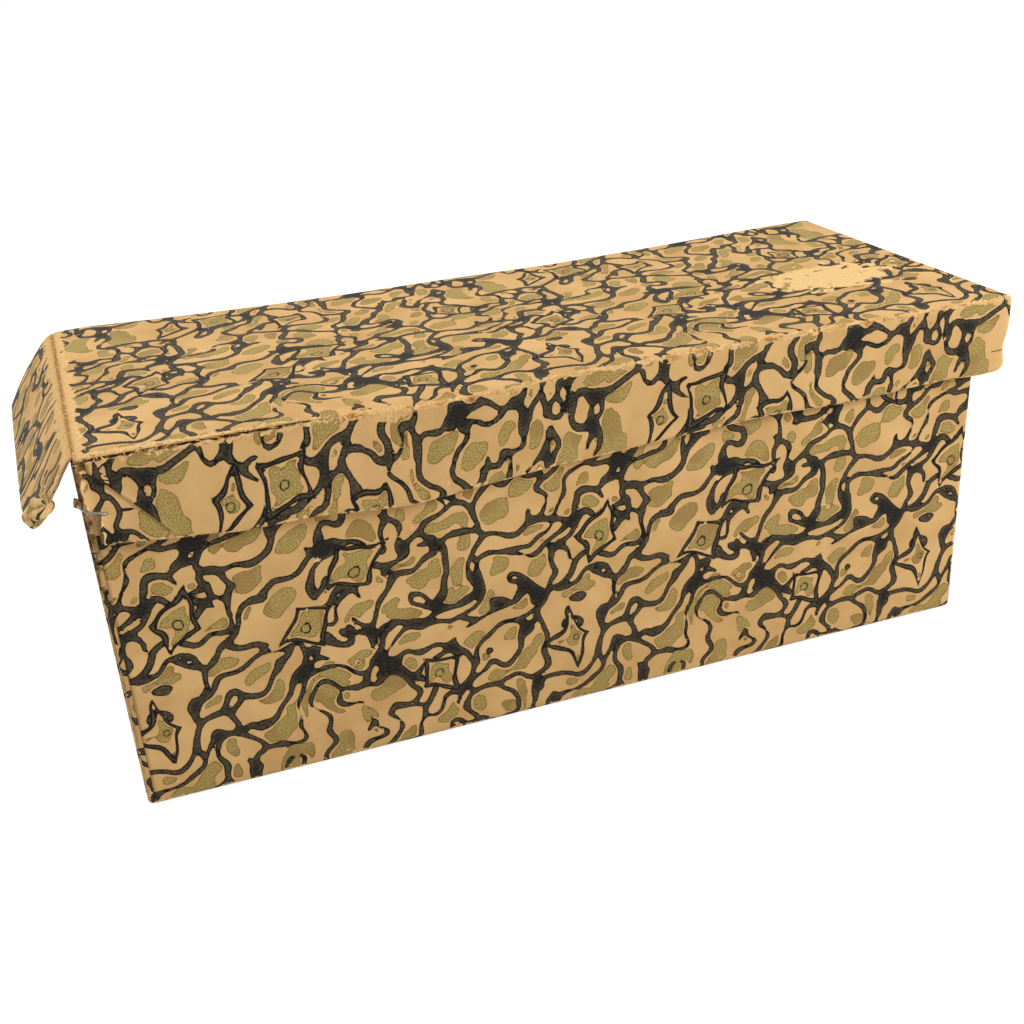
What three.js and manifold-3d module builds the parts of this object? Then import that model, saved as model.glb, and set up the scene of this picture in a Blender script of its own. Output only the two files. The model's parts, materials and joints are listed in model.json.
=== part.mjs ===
// A long covered cardboard box with a lift-off lid.
// Boards are cut to size, held at the corners with flat wire staples and covered with patterned paper.
// The lid has slid to the right and its left skirt has torn loose at both corners.
// That skirt hangs from the paper crease and leans outwards against the end of the base.
//
// Frame: millimetres, origin at the centre of the underside, +X along the length, +Y to the back, +Z up.
import * as THREE from "three";
import { mergeVertices } from "three/addons/utils/BufferGeometryUtils.js";
import Module from "manifold-3d";

const wasm = await Module();
wasm.setup();

// Outside of the covered base
const baseLength = 210;
const baseWidth = 90;
const baseHeight = 82;

// Sheets
const board = 1.6;
const wrap = 0.3;
const lining = 0.3;

// Lid: room round the base, how far it has slid, and how far its skirts reach below its top
const lidSideRoom = 0.3;
const lidEndPlay = 1.8;
const lidSlide = 4;
const skirtDepth = 19.5;

// Rounded edges of the covered boards
const cornerRadius = 1.3;
const bottomRadius = 1.2;
const rimRadius = 0.9;
const lidEdgeRadius = 1.1;
const boardEdgeWear = 0.5;

// Covering paper: what is turned over the rim, under the bottom and inside the skirts
const rimTurnIn = 12;
const bottomTurnUnder = 12;
const skirtTurnIn = 8;
const bottomSheetInset = 3;
const bottomSheetCorner = 3;
const liningBelowRim = 3;
const liningGap = 0.3;

// Torn places: paper split at a base corner, tear along the lid's front edge, mitred corner tabs
const splitLength = 34;
const splitWidth = 1.1;
const tearLength = 42;
const tearWidth = 0.5;
const tabTop = 2.8;
const tabWidth = 15;
const cutGap = 0.3;

// Flat wire staples that go round each corner
const wireThick = 0.5;
const wireWide = 0.9;
const crownReach = 6.5;
const clinchLength = 2.2;
const pocketGap = 0.25;
const lowStapleHeight = 20;
const highStapleDrop = 20;
const lidStapleDrop = 11.5;

// Staple pulled out of the torn corner
const wireRadius = 0.3;
const pulledLegInset = 1.5;
const pulledReach = 1.8;
const pulledReturn = 3.3;
const shredLength = 2;
const shredDepth = 2.6;
const shredHeight = 2.8;
const shredRise = 0.5;

// Torn skirt: its angle from hanging straight, its depth at the back and front, its broken corner
const splay = THREE.MathUtils.degToRad(37);
const flapBackDepth = 22;
const flapFrontDepth = 20.5;
const creaseGap = 0.6;
const glueGap = 0.25;
const restGap = 0.3;
const flapFrontWear = 3;
const breakAlong = 17;
const breakUp = 8.5;

// Paper rolled up at the broken corner
const curlRadius = 2.1;
const curlSheet = 0.5;
const curlTurn = THREE.MathUtils.degToRad(300);
const curlLength = 13;
const curlLead = 1.2;

// Fineness of round shapes
const arcSteps = 4;
const wireSides = 8;
const wireSteps = 26;
const curlSteps = 14;

// Places worked out from the sizes above
const halfLength = baseLength / 2;
const halfWidth = baseWidth / 2;
const wall = wrap + board + wrap;
const lidHalfWidth = halfWidth + lidSideRoom + wall;
const lidLength = baseLength + 2 * (lidSideRoom + wall) + lidEndPlay;
const lidLeft = lidSlide - lidLength / 2;
const lidRight = lidSlide + lidLength / 2;
const lidBoardUnder = baseHeight + lining;
const lidBoardTop = lidBoardUnder + board;
const lidTop = lidBoardTop + wrap;
const skirtLow = lidTop - skirtDepth;
const flapFront = -(lidHalfWidth - wrap - flapFrontWear);
const bottomBoardUnder = 2 * wrap;
const bottomBoardTop = bottomBoardUnder + board;
const boardCorner = cornerRadius - wrap + boardEdgeWear;
const boardBottomEdge = bottomRadius - wrap + boardEdgeWear;
const boardRimEdge = Math.min(rimRadius - wrap + boardEdgeWear, board);

const colours = {
  paper: new THREE.MeshStandardMaterial({ color: 0xcfa26c, roughness: 0.85, metalness: 0 }),
  board: new THREE.MeshStandardMaterial({ color: 0xa87c4c, roughness: 0.95, metalness: 0 }),
  lining: new THREE.MeshStandardMaterial({ color: 0xd9c9a8, roughness: 0.9, metalness: 0 }),
  wire: new THREE.MeshStandardMaterial({ color: 0xb5b4ad, roughness: 0.35, metalness: 0.9 }),
};

// A closed geometry as a solid that can be joined and cut
function solidOf(geometry) {
  const bare = geometry.clone();
  bare.deleteAttribute("normal");
  bare.deleteAttribute("uv");
  const merged = mergeVertices(bare, 1e-4);
  return new wasm.Manifold(
    new wasm.Mesh({
      numProp: 3,
      vertProperties: merged.attributes.position.array,
      triVerts: new Uint32Array(merged.index.array),
    }),
  );
}

function meshOf(name, solid, material) {
  const cut = solid.getMesh();
  const geometry = new THREE.BufferGeometry();
  geometry.setAttribute("position", new THREE.BufferAttribute(cut.vertProperties, 3));
  geometry.setIndex(new THREE.BufferAttribute(cut.triVerts, 1));
  const flat = geometry.toNonIndexed();
  flat.computeVertexNormals();
  const mesh = new THREE.Mesh(flat, material);
  mesh.name = name;
  return mesh;
}

// A block between two corners, square or with rounded upright, top and bottom edges
function block([x0, y0, z0], [x1, y1, z1]) {
  const geometry = new THREE.BoxGeometry(x1 - x0, y1 - y0, z1 - z0);
  return solidOf(geometry.translate((x0 + x1) / 2, (y0 + y1) / 2, (z0 + z1) / 2));
}

function roundedBlock([x0, y0, z0], [x1, y1, z1], upright, top = 0, bottom = 0) {
  const quarter = Array.from({ length: arcSteps + 1 }, (_, i) => ((i / arcSteps) * Math.PI) / 2);
  const rings = [];
  if (bottom > 0) {
    quarter.forEach((a) => rings.push([bottom * (1 - Math.sin(a)), z0 + bottom * (1 - Math.cos(a))]));
  } else {
    rings.push([0, z0]);
  }
  if (top > 0) {
    quarter.forEach((a) => rings.push([top * (1 - Math.cos(a)), z1 - top * (1 - Math.sin(a))]));
  } else {
    rings.push([0, z1]);
  }
  const leastRadius = 0.1;
  const points = [];
  for (const [inset, z] of rings) {
    const r = Math.max(upright - inset, leastRadius);
    const reach = inset + r;
    const centres = [
      [x1 - reach, y1 - reach],
      [x0 + reach, y1 - reach],
      [x0 + reach, y0 + reach],
      [x1 - reach, y0 + reach],
    ];
    centres.forEach(([cx, cy], corner) => {
      for (const a of quarter) {
        const turn = a + (corner * Math.PI) / 2;
        points.push(cx + r * Math.cos(turn), cy + r * Math.sin(turn), z);
      }
    });
  }
  const around = points.length / 3 / rings.length;
  const faces = [];
  for (let ring = 0; ring + 1 < rings.length; ring++) {
    for (let i = 0; i < around; i++) {
      const a = ring * around + i;
      const b = ring * around + ((i + 1) % around);
      faces.push(a, b, b + around, a, b + around, a + around);
    }
  }
  const last = (rings.length - 1) * around;
  for (let i = 1; i + 1 < around; i++) {
    faces.push(0, i + 1, i);
    faces.push(last, last + i, last + i + 1);
  }
  const geometry = new THREE.BufferGeometry();
  geometry.setAttribute("position", new THREE.Float32BufferAttribute(points, 3));
  geometry.setIndex(faces);
  return solidOf(geometry);
}

// An outline in X and Z, pushed from y0 to y1
function uprightPlate(outline, y0, y1) {
  const shape = new THREE.Shape(outline.map(([x, z]) => new THREE.Vector2(x, z)));
  const geometry = new THREE.ExtrudeGeometry(shape, { depth: y1 - y0, bevelEnabled: false });
  geometry.rotateX(Math.PI / 2);
  geometry.translate(0, y1, 0);
  return solidOf(geometry);
}

// Wire staple round a corner, seen from above, for the corner whose inside lies towards +X and +Y.
// Both ends go through the boards and are bent over on the inside. Grown, it is the staple's pocket.
function staplePlan(grow) {
  const near = wireThick + grow;
  const legFar = crownReach + grow;
  const legNear = crownReach - wireThick - grow;
  const tip = crownReach + clinchLength + grow;
  const clinchOut = board - wireThick - grow;
  const clinchIn = board + grow;
  const shape = new THREE.Shape();
  shape.moveTo(legFar, -grow);
  shape.lineTo(legFar, clinchOut);
  shape.lineTo(tip, clinchOut);
  shape.lineTo(tip, clinchIn);
  shape.lineTo(legNear, clinchIn);
  shape.lineTo(legNear, near);
  shape.lineTo(boardCorner, near);
  shape.absarc(boardCorner, boardCorner, boardCorner - near, -Math.PI / 2, -Math.PI, true);
  shape.lineTo(near, legNear);
  shape.lineTo(clinchIn, legNear);
  shape.lineTo(clinchIn, tip);
  shape.lineTo(clinchOut, tip);
  shape.lineTo(clinchOut, legFar);
  shape.lineTo(-grow, legFar);
  shape.lineTo(-grow, boardCorner);
  shape.absarc(boardCorner, boardCorner, boardCorner + grow, Math.PI, (3 * Math.PI) / 2, false);
  return shape.getPoints(arcSteps);
}

function cornerStaple({ x, y, inX, inY, z }, grow = 0) {
  const outline = staplePlan(grow).map((p) => new THREE.Vector2(x + inX * p.x, y + inY * p.y));
  const height = wireWide + 2 * grow;
  const geometry = new THREE.ExtrudeGeometry(new THREE.Shape(outline), { depth: height, bevelEnabled: false });
  return solidOf(geometry.translate(0, 0, z - height / 2));
}

// Cuts the pockets of every staple out of a board
function pocketed(solid, staples) {
  return staples.reduce((rest, place) => rest.subtract(cornerStaple(place, pocketGap)), solid);
}

// The base

const baseCore = roundedBlock(
  [-halfLength + wrap, -halfWidth + wrap, bottomBoardUnder],
  [halfLength - wrap, halfWidth - wrap, baseHeight - wrap],
  boardCorner,
  boardRimEdge,
  boardBottomEdge,
);

const baseStaples = [];
for (const [end, side] of [["left", "front"], ["left", "back"], ["right", "front"], ["right", "back"]]) {
  const inX = end === "left" ? 1 : -1;
  const inY = side === "front" ? 1 : -1;
  const corner = { x: -inX * (halfLength - wrap), y: -inY * (halfWidth - wrap), inX, inY };
  baseStaples.push({ ...corner, name: `base_staple_${side}_${end}_low`, z: lowStapleHeight });
  baseStaples.push({ ...corner, name: `base_staple_${side}_${end}_high`, z: baseHeight - highStapleDrop });
}

function makeBase() {
  const outX = halfLength - wrap;
  const outY = halfWidth - wrap;
  const inX = outX - board;
  const inY = outY - board;
  const low = bottomBoardUnder;
  const high = baseHeight - wrap;
  const wallBoard = (from, to) => pocketed(block(from, to).intersect(baseCore), baseStaples);
  const parts = new THREE.Group();
  parts.add(
    meshOf("base_bottom_board", block([-inX, -inY, low], [inX, inY, bottomBoardTop]), colours.board),
    meshOf("base_front_board", wallBoard([-inX, -outY, low], [inX, -inY, high]), colours.board),
    meshOf("base_back_board", wallBoard([-inX, inY, low], [inX, outY, high]), colours.board),
    meshOf("base_left_board", wallBoard([-outX, -outY, low], [-inX, outY, high]), colours.board),
    meshOf("base_right_board", wallBoard([inX, -outY, low], [outX, outY, high]), colours.board),
    meshOf("base_wrap_paper", makeBaseWrap(), colours.paper),
    meshOf("base_bottom_paper", makeBottomSheet(), colours.paper),
    meshOf("base_wall_lining", makeWallLining(), colours.lining),
    meshOf("base_floor_lining", makeFloorLining(), colours.lining),
  );
  for (const place of baseStaples) parts.add(meshOf(place.name, cornerStaple(place), colours.wire));
  return parts;
}

// One band of paper round the walls, turned over the rim, down the inside and under the bottom
function makeBaseWrap() {
  const outer = roundedBlock(
    [-halfLength, -halfWidth, wrap],
    [halfLength, halfWidth, baseHeight],
    cornerRadius,
    rimRadius,
    bottomRadius,
  );
  const boards = roundedBlock(
    [-halfLength + wrap, -halfWidth + wrap, 2 * wrap],
    [halfLength - wrap, halfWidth - wrap, baseHeight - wrap],
    cornerRadius - wrap,
    rimRadius - wrap,
    bottomRadius - wrap,
  );
  const inX = halfLength - wall;
  const inY = halfWidth - wall;
  const mouth = block([-inX, -inY, baseHeight / 2], [inX, inY, baseHeight + wrap]);
  const underX = halfLength - bottomTurnUnder;
  const underY = halfWidth - bottomTurnUnder;
  const underside = block([-underX, -underY, 0], [underX, underY, baseHeight / 2]);
  const turnLow = baseHeight - rimTurnIn;
  const turnHigh = baseHeight - wrap / 2;
  const turnIn = block([-inX - wrap, -inY - wrap, turnLow], [inX + wrap, inY + wrap, turnHigh]).subtract(
    block([-inX, -inY, turnLow - wrap], [inX, inY, baseHeight]),
  );
  const split = block(
    [-halfLength - wrap, -halfWidth - wrap, baseHeight - splitLength],
    [-halfLength + splitWidth, -halfWidth + splitWidth, baseHeight + wrap],
  );
  return outer.subtract(boards).subtract(mouth).subtract(underside).add(turnIn).subtract(split);
}

function makeBottomSheet() {
  const x = halfLength - bottomSheetInset;
  const y = halfWidth - bottomSheetInset;
  return roundedBlock([-x, -y, 0], [x, y, wrap], bottomSheetCorner);
}

function makeWallLining() {
  const outX = halfLength - wall;
  const outY = halfWidth - wall;
  const inX = outX - lining;
  const inY = outY - lining;
  const high = baseHeight - liningBelowRim;
  const tube = block([-outX, -outY, bottomBoardTop], [outX, outY, high]);
  return tube.subtract(block([-inX, -inY, 0], [inX, inY, baseHeight]));
}

function makeFloorLining() {
  const x = halfLength - wall - lining - liningGap;
  const y = halfWidth - wall - lining - liningGap;
  return block([-x, -y, bottomBoardTop], [x, y, bottomBoardTop + lining]);
}

// The lid

const lidStaples = ["front", "back"].map((side) => ({
  name: `lid_staple_${side}_right`,
  x: lidRight - wrap,
  y: (side === "front" ? -1 : 1) * (lidHalfWidth - wrap),
  inX: -1,
  inY: side === "front" ? 1 : -1,
  z: lidTop - lidStapleDrop,
}));

// Round wire still held by one leg in a long skirt; the rest follows the corner that has torn away
function pulledStaple(side, radius) {
  const face = side * (lidHalfWidth + cutGap + wireRadius);
  const legX = lidLeft + wrap + board + pulledLegInset;
  const farX = lidLeft - pulledReach;
  const z = lidTop - lidStapleDrop;
  const bend = 0.9;
  const path = new THREE.CatmullRomCurve3(
    [
      new THREE.Vector3(legX, side * (lidHalfWidth - wall + wireRadius), z),
      new THREE.Vector3(legX, side * (lidHalfWidth - wrap), z),
      new THREE.Vector3(legX - bend, face, z),
      new THREE.Vector3((legX + farX) / 2, face, z - wireRadius / 2),
      new THREE.Vector3(farX + bend, face, z),
      new THREE.Vector3(farX, face - side * bend, z + shredRise / 2),
      new THREE.Vector3(farX, face - side * pulledReturn, z + shredRise),
    ],
    false,
    "centripetal",
  );
  const section = new THREE.Shape();
  section.absarc(0, 0, radius, 0, 2 * Math.PI, false);
  const ring = new THREE.Shape(section.getSpacedPoints(wireSides).slice(0, wireSides));
  return solidOf(
    new THREE.ExtrudeGeometry(ring, { steps: wireSteps, bevelEnabled: false, extrudePath: path }),
  );
}

// Bit of skirt board left on the pulled staple
function makeShred(side) {
  const x = lidLeft - pulledReach;
  const y = side * (lidHalfWidth + cutGap + wireRadius - pulledReturn);
  const z = lidTop - lidStapleDrop + shredRise;
  const outline = [
    [x - shredLength / 2, z - shredHeight * 0.3],
    [x + shredLength / 2, z - shredHeight * 0.5],
    [x + shredLength * 0.4, z + shredHeight * 0.35],
    [x - shredLength * 0.3, z + shredHeight * 0.5],
  ];
  const [near, far] = [y - side * shredDepth * 0.6, y + side * shredDepth * 0.4].sort((a, b) => a - b);
  return uprightPlate(outline, near, far).subtract(pulledStaple(side, wireRadius + pocketGap));
}

function makeLid() {
  const outY = lidHalfWidth - wrap;
  const inY = outY - board;
  const outLeft = lidLeft + wrap;
  const inLeft = outLeft + board;
  const outRight = lidRight - wrap;
  const inRight = outRight - board;
  const low = skirtLow + wrap;
  const topBoard = roundedBlock(
    [outLeft, -outY, lidBoardUnder],
    [outRight, outY, lidBoardTop],
    boardCorner,
    Math.min(lidEdgeRadius - wrap + boardEdgeWear, board * 0.9),
  );
  const skirtCore = roundedBlock([lidLeft - board, -outY, low], [outRight, outY, lidTop], boardCorner);
  const rightBoard = block([inRight, -outY, low], [outRight, outY, lidBoardUnder]).intersect(skirtCore);
  const longSkirt = (side) => {
    const [y0, y1] = side < 0 ? [-outY, -inY] : [inY, outY];
    const solid = block([inLeft, y0, low], [inRight, y1, lidBoardUnder]).intersect(skirtCore);
    return pocketed(solid, lidStaples).subtract(pulledStaple(side, wireRadius + pocketGap));
  };
  const parts = new THREE.Group();
  parts.add(
    meshOf("lid_top_board", topBoard, colours.board),
    meshOf("lid_front_skirt_board", longSkirt(-1), colours.board),
    meshOf("lid_back_skirt_board", longSkirt(1), colours.board),
    meshOf("lid_right_skirt_board", pocketed(rightBoard, lidStaples), colours.board),
    meshOf("lid_wrap_paper", makeLidWrap(), colours.paper),
    meshOf("lid_corner_tab_front_left", makeCornerTab(-1), colours.paper),
    meshOf("lid_corner_tab_back_left", makeCornerTab(1), colours.paper),
    meshOf("lid_lining", makeLidLining(), colours.lining),
    meshOf("lid_staple_front_left_pulled", pulledStaple(-1, wireRadius), colours.wire),
    meshOf("lid_staple_back_left_pulled", pulledStaple(1, wireRadius), colours.wire),
    meshOf("lid_board_shred_front_left", makeShred(-1), colours.board),
    meshOf("lid_board_shred_back_left", makeShred(1), colours.board),
  );
  for (const place of lidStaples) parts.add(meshOf(place.name, cornerStaple(place), colours.wire));
  return parts;
}

// Mitred end of the skirt's paper, a triangle in X and Z; grown, it is the place left free for it
function tabOutline(grow) {
  const left = lidLeft + wrap + board;
  const slope = tabWidth / (skirtDepth - tabTop);
  const shift = grow * Math.hypot(1, slope);
  return [
    [left - grow, lidTop - tabTop + (shift + grow) / slope],
    [left - grow, skirtLow - grow],
    [left + tabWidth + shift + grow * slope, skirtLow - grow],
  ];
}

function makeCornerTab(side) {
  const [y0, y1] = side < 0 ? [-lidHalfWidth, -lidHalfWidth + wrap] : [lidHalfWidth - wrap, lidHalfWidth];
  const tab = uprightPlate(tabOutline(0), y0, y1);
  return tab.subtract(pulledStaple(side, wireRadius + pocketGap));
}

// Top, both long skirts and the right skirt in one sheet, with its edge turned up inside the skirts
function makeLidWrap() {
  const outer = roundedBlock(
    [lidLeft, -lidHalfWidth, skirtLow],
    [lidRight, lidHalfWidth, lidTop],
    cornerRadius,
    lidEdgeRadius,
  );
  const far = lidLength;
  const outY = lidHalfWidth - wrap;
  const inY = outY - board;
  const outRight = lidRight - wrap;
  const inRight = outRight - board;
  const topBoards = roundedBlock(
    [lidLeft + wrap, -outY, lidBoardUnder],
    [outRight, outY, lidBoardTop],
    cornerRadius - wrap,
    lidEdgeRadius - wrap,
  );
  const skirtBoards = roundedBlock(
    [lidLeft - board, -outY, skirtLow + wrap],
    [outRight, outY, lidBoardUnder + wrap],
    cornerRadius - wrap,
  ).subtract(block([-far, -inY, 0], [inRight, inY, skirtLow + skirtTurnIn]));
  const inside = block([-far, wrap - inY, 0], [inRight - wrap, inY - wrap, lidBoardUnder]);
  const openEnd = block([-far, -far, 0], [lidLeft + wrap + board, far, lidBoardUnder]);
  const tear = block(
    [lidLeft + wrap, -far, lidBoardUnder - tearWidth],
    [lidLeft + tearLength, -outY + wrap / 2, lidBoardUnder],
  );
  const tabs = [-1, 1].map((side) => {
    const [y0, y1] = side < 0 ? [-far, -outY] : [outY, far];
    return uprightPlate(tabOutline(cutGap), y0, y1);
  });
  return [topBoards, skirtBoards, inside, openEnd, tear, ...tabs].reduce(
    (rest, cut) => rest.subtract(cut),
    outer,
  );
}

function makeLidLining() {
  const y = lidHalfWidth - wrap - board - liningGap;
  const left = lidLeft + wrap + board;
  const right = lidRight - wrap - board - liningGap;
  return block([left, -y, baseHeight], [right, y, lidBoardUnder]);
}

// The torn left skirt, drawn hanging straight down from the crease at its own origin:
// +X towards the box, +Y to the back, -Z down the skirt

// Outline in Y and Z with the front corner broken off; a sheet that ends short of it has a trim
function flapOutline(top, trim) {
  const y = lidHalfWidth - wrap;
  return [
    [y, -top],
    [flapFront, -top],
    [flapFront, -(flapFrontDepth - breakUp - trim)],
    [flapFront + breakAlong * 0.3, -(flapFrontDepth - breakUp * 0.5 - trim)],
    [flapFront + breakAlong, -(flapFrontDepth - trim)],
    [y, -(flapBackDepth - trim)],
  ];
}

function flapPlate(top, trim, x0, x1) {
  const shape = new THREE.Shape(flapOutline(top, trim).map(([y, z]) => new THREE.Vector2(y, z)));
  const geometry = new THREE.ExtrudeGeometry(shape, { depth: x1 - x0, bevelEnabled: false });
  geometry.applyMatrix4(
    new THREE.Matrix4().makeBasis(
      new THREE.Vector3(0, 1, 0),
      new THREE.Vector3(0, 0, 1),
      new THREE.Vector3(1, 0, 0),
    ),
  );
  return solidOf(geometry.translate(x0, 0, 0));
}

// How far down the skirt a layer meets the upright end of the base
function baseContact(layer) {
  const stand = lidLeft + halfLength + restGap;
  return (layer * Math.cos(splay) + stand) / Math.sin(splay);
}

function makeFlapBoard() {
  const outer = wrap + glueGap;
  const inner = outer + board;
  const least = wrap + board + cutGap;
  const outerTop = Math.max(baseContact(outer), least);
  const innerTop = Math.max(baseContact(inner), least);
  const plate = flapPlate(least, wrap + glueGap, outer, inner);
  const bevel = uprightPlate(
    [
      [outer - glueGap / 2, glueGap],
      [outer - glueGap / 2, -outerTop + (innerTop - outerTop) * (glueGap / 2 / board)],
      [inner + glueGap / 2, -innerTop - (innerTop - outerTop) * (glueGap / 2 / board)],
      [inner + glueGap / 2, glueGap],
    ],
    -lidHalfWidth,
    lidHalfWidth,
  );
  return plate.subtract(bevel);
}

// Paper on the skirt's face, round its lower edge and a little way up its back
function makeFlapWrap() {
  const boardOuter = wrap + glueGap;
  const boardInner = boardOuter + board;
  const back = boardInner + glueGap;
  const whole = flapPlate(creaseGap, 0, 0, back + wrap);
  const boardSpace = flapPlate(0, wrap, wrap, back);
  const aboveTurn = block(
    [wrap, -lidHalfWidth, -(flapBackDepth - skirtTurnIn)],
    [back + 2 * wrap, lidHalfWidth, glueGap],
  );
  const frontBack = block(
    [back - glueGap, -lidHalfWidth, -flapBackDepth],
    [back + 2 * wrap, flapFront + breakAlong, glueGap],
  );
  return whole.subtract(boardSpace).subtract(aboveTurn).subtract(frontBack);
}

// Loose paper past the broken corner, rolled towards the box
function makeFlapCurl() {
  const from = new THREE.Vector3(0, flapFront + breakAlong, -flapFrontDepth);
  const to = new THREE.Vector3(0, flapFront + breakAlong * 0.3, -(flapFrontDepth - breakUp * 0.5));
  const along = to.clone().sub(from).normalize();
  const inward = new THREE.Vector3(1, 0, 0);
  const outward = inward.clone().cross(along);
  if (outward.z > 0) outward.negate();
  const outerEdge = [];
  const innerEdge = [];
  for (let i = 0; i <= curlSteps; i++) {
    const share = i / curlSteps;
    const turn = share * curlTurn;
    const radius = curlRadius * (1 - 0.35 * share);
    const centre = [cutGap + curlLead, curlRadius];
    outerEdge.push([centre[0] + radius * Math.sin(turn), centre[1] - radius * Math.cos(turn)]);
    const inside = radius - curlSheet;
    innerEdge.push([centre[0] + inside * Math.sin(turn), centre[1] - inside * Math.cos(turn)]);
  }
  const outline = [[cutGap, 0], ...outerEdge, ...innerEdge.reverse(), [cutGap, curlSheet]];
  const shape = new THREE.Shape(outline.map(([u, v]) => new THREE.Vector2(u, v)));
  const geometry = new THREE.ExtrudeGeometry(shape, { depth: curlLength, bevelEnabled: false });
  const axis = outward.clone().cross(inward);
  const start = axis.dot(along) > 0 ? from.clone() : from.clone().addScaledVector(along, curlLength);
  geometry.applyMatrix4(new THREE.Matrix4().makeBasis(outward, inward, axis).setPosition(start));
  return solidOf(geometry);
}

function makeFlap() {
  const parts = new THREE.Group();
  parts.position.set(lidLeft, 0, lidTop);
  parts.rotation.y = splay;
  parts.add(
    meshOf("lid_left_skirt_board", makeFlapBoard(), colours.board),
    meshOf("lid_left_skirt_wrap", makeFlapWrap(), colours.paper),
    meshOf("lid_left_skirt_curl", makeFlapCurl(), colours.paper),
  );
  return parts;
}

const box = new THREE.Group();
box.add(makeBase(), makeLid(), makeFlap());
export default box;
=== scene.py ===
"""A long cardboard box covered with printed paper, its lid's left skirt torn free, on a white floor."""
import json

import bmesh
import bpy
import numpy as np
from mathutils import Matrix, Vector


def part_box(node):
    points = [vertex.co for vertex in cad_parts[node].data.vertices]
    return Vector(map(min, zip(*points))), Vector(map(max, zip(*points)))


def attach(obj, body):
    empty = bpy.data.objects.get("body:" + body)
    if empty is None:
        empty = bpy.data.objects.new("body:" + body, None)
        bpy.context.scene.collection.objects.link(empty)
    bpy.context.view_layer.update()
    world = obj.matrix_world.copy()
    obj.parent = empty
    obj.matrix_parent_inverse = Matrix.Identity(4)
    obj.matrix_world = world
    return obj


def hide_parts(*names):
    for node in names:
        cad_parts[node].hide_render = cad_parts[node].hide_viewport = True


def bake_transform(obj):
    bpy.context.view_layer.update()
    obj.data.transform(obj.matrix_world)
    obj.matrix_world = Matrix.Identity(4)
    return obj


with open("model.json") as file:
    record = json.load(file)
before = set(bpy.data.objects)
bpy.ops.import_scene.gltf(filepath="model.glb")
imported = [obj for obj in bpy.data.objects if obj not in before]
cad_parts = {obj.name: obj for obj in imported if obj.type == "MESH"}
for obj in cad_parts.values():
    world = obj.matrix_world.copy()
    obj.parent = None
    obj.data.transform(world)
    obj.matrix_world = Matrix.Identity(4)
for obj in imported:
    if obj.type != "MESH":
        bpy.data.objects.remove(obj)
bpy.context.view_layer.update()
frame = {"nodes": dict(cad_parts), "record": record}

MM = 0.001

# Sizes in millimetres, the same as in the part's source
BASE_HALF_LENGTH = 105.0
BASE_HALF_WIDTH = 45.0
BASE_HEIGHT = 82.0
WRAP = 0.3
WALL = 2.2
CORNER_RADIUS = 1.3
BOTTOM_RADIUS = 1.2
RIM_RADIUS = 0.9
RIM_TURN_IN = 12.0
TURN_UNDER = 12.0
SPLIT_LENGTH = 34.0
LID_LEFT = -104.4
LID_RIGHT = 112.4
LID_HALF_WIDTH = 47.5
LID_TOP = 84.2
LID_ROUND = 1.1
SKIRT_LOW = 64.7
SKIRT_STRAIGHT_END = 65.4
SKIRT_TURN_IN = 8.0
SPLAY = np.radians(37.0)

# Print on the covering paper, in mm
REPEAT = 96.0
GRID = 384
STEP = REPEAT / GRID
PRINT_SEED = 9
WEAR_SEED = 11
CELL_SPACING = 9.0
CELL_REACH = 27.0
UPRIGHT_CELLS_AT = 78.0
STRAY_STROKES = 80
STAR_REACH = 11.0

# Where the base's and the lid's sheets lie on the print, and the lid's top edges on its own sheet
BASE_SHEET = (0.0, -2.0)
LID_SHEET = (-5.5, 78.0)
SHEET_FRONT_EDGE = 19.5
SHEET_BACK_EDGE = SHEET_FRONT_EDGE + 2 * LID_HALF_WIDTH


def colour(r, g, b):
    """A screen colour, 0 to 255, as the linear value that a shader takes."""
    def lin(c):
        c /= 255
        return c / 12.92 if c <= 0.04045 else ((c + 0.055) / 1.055) ** 2.4
    return (lin(r), lin(g), lin(b), 1)


def place_object(name, data):
    """A new object in the scene."""
    item = bpy.data.objects.new(name, data)
    bpy.context.scene.collection.objects.link(item)
    return item


def smooth(t):
    """Rises gently from 0 to 1 as t does."""
    t = np.clip(t, 0, 1)
    return t * t * (3 - 2 * t)


def hump(x, at, spread):
    return np.exp(-((x - at) / spread) ** 2)


# Fields on the printed sheet: arrays that repeat every REPEAT mm both ways

def across_repeat(d):
    return (d + REPEAT / 2) % REPEAT - REPEAT / 2


def frequencies():
    k = np.fft.fftfreq(GRID, STEP)
    return np.meshgrid(k, k, indexing="ij")


def soft_noise(rng, wave):
    """Smooth noise that repeats, mean 0, spread 1; wave is its usual wavelength in mm."""
    kx, ky = frequencies()
    kr = np.hypot(kx, ky)
    white = np.fft.fft2(rng.standard_normal((GRID, GRID)))
    out = np.real(np.fft.ifft2(white * np.exp(-((kr * wave - 1.0) ** 2) / 0.5) * (kr > 0)))
    return out / out.std()


def blur(field, sigma):
    kx, ky = frequencies()
    fall = np.exp(-2 * (np.pi * sigma) ** 2 * (kx ** 2 + ky ** 2))
    return np.real(np.fft.ifft2(np.fft.fft2(field) * fall))


def slope(field):
    gx = (np.roll(field, -1, 0) - np.roll(field, 1, 0)) / (2 * STEP)
    gy = (np.roll(field, -1, 1) - np.roll(field, 1, 1)) / (2 * STEP)
    return np.hypot(gx, gy)


def patch(centre, reach):
    """Grid places within reach of a point, and their offsets from it in mm."""
    n = int(np.ceil(reach / STEP))
    mid = np.round(np.asarray(centre) / STEP - 0.5).astype(int)
    i = np.arange(mid[0] - n, mid[0] + n + 1)
    j = np.arange(mid[1] - n, mid[1] + n + 1)
    dx = (i + 0.5) * STEP - centre[0]
    dy = (j + 0.5) * STEP - centre[1]
    dx, dy = np.meshgrid(dx, dy, indexing="ij")
    return np.ix_(i % GRID, j % GRID), dx, dy


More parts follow.
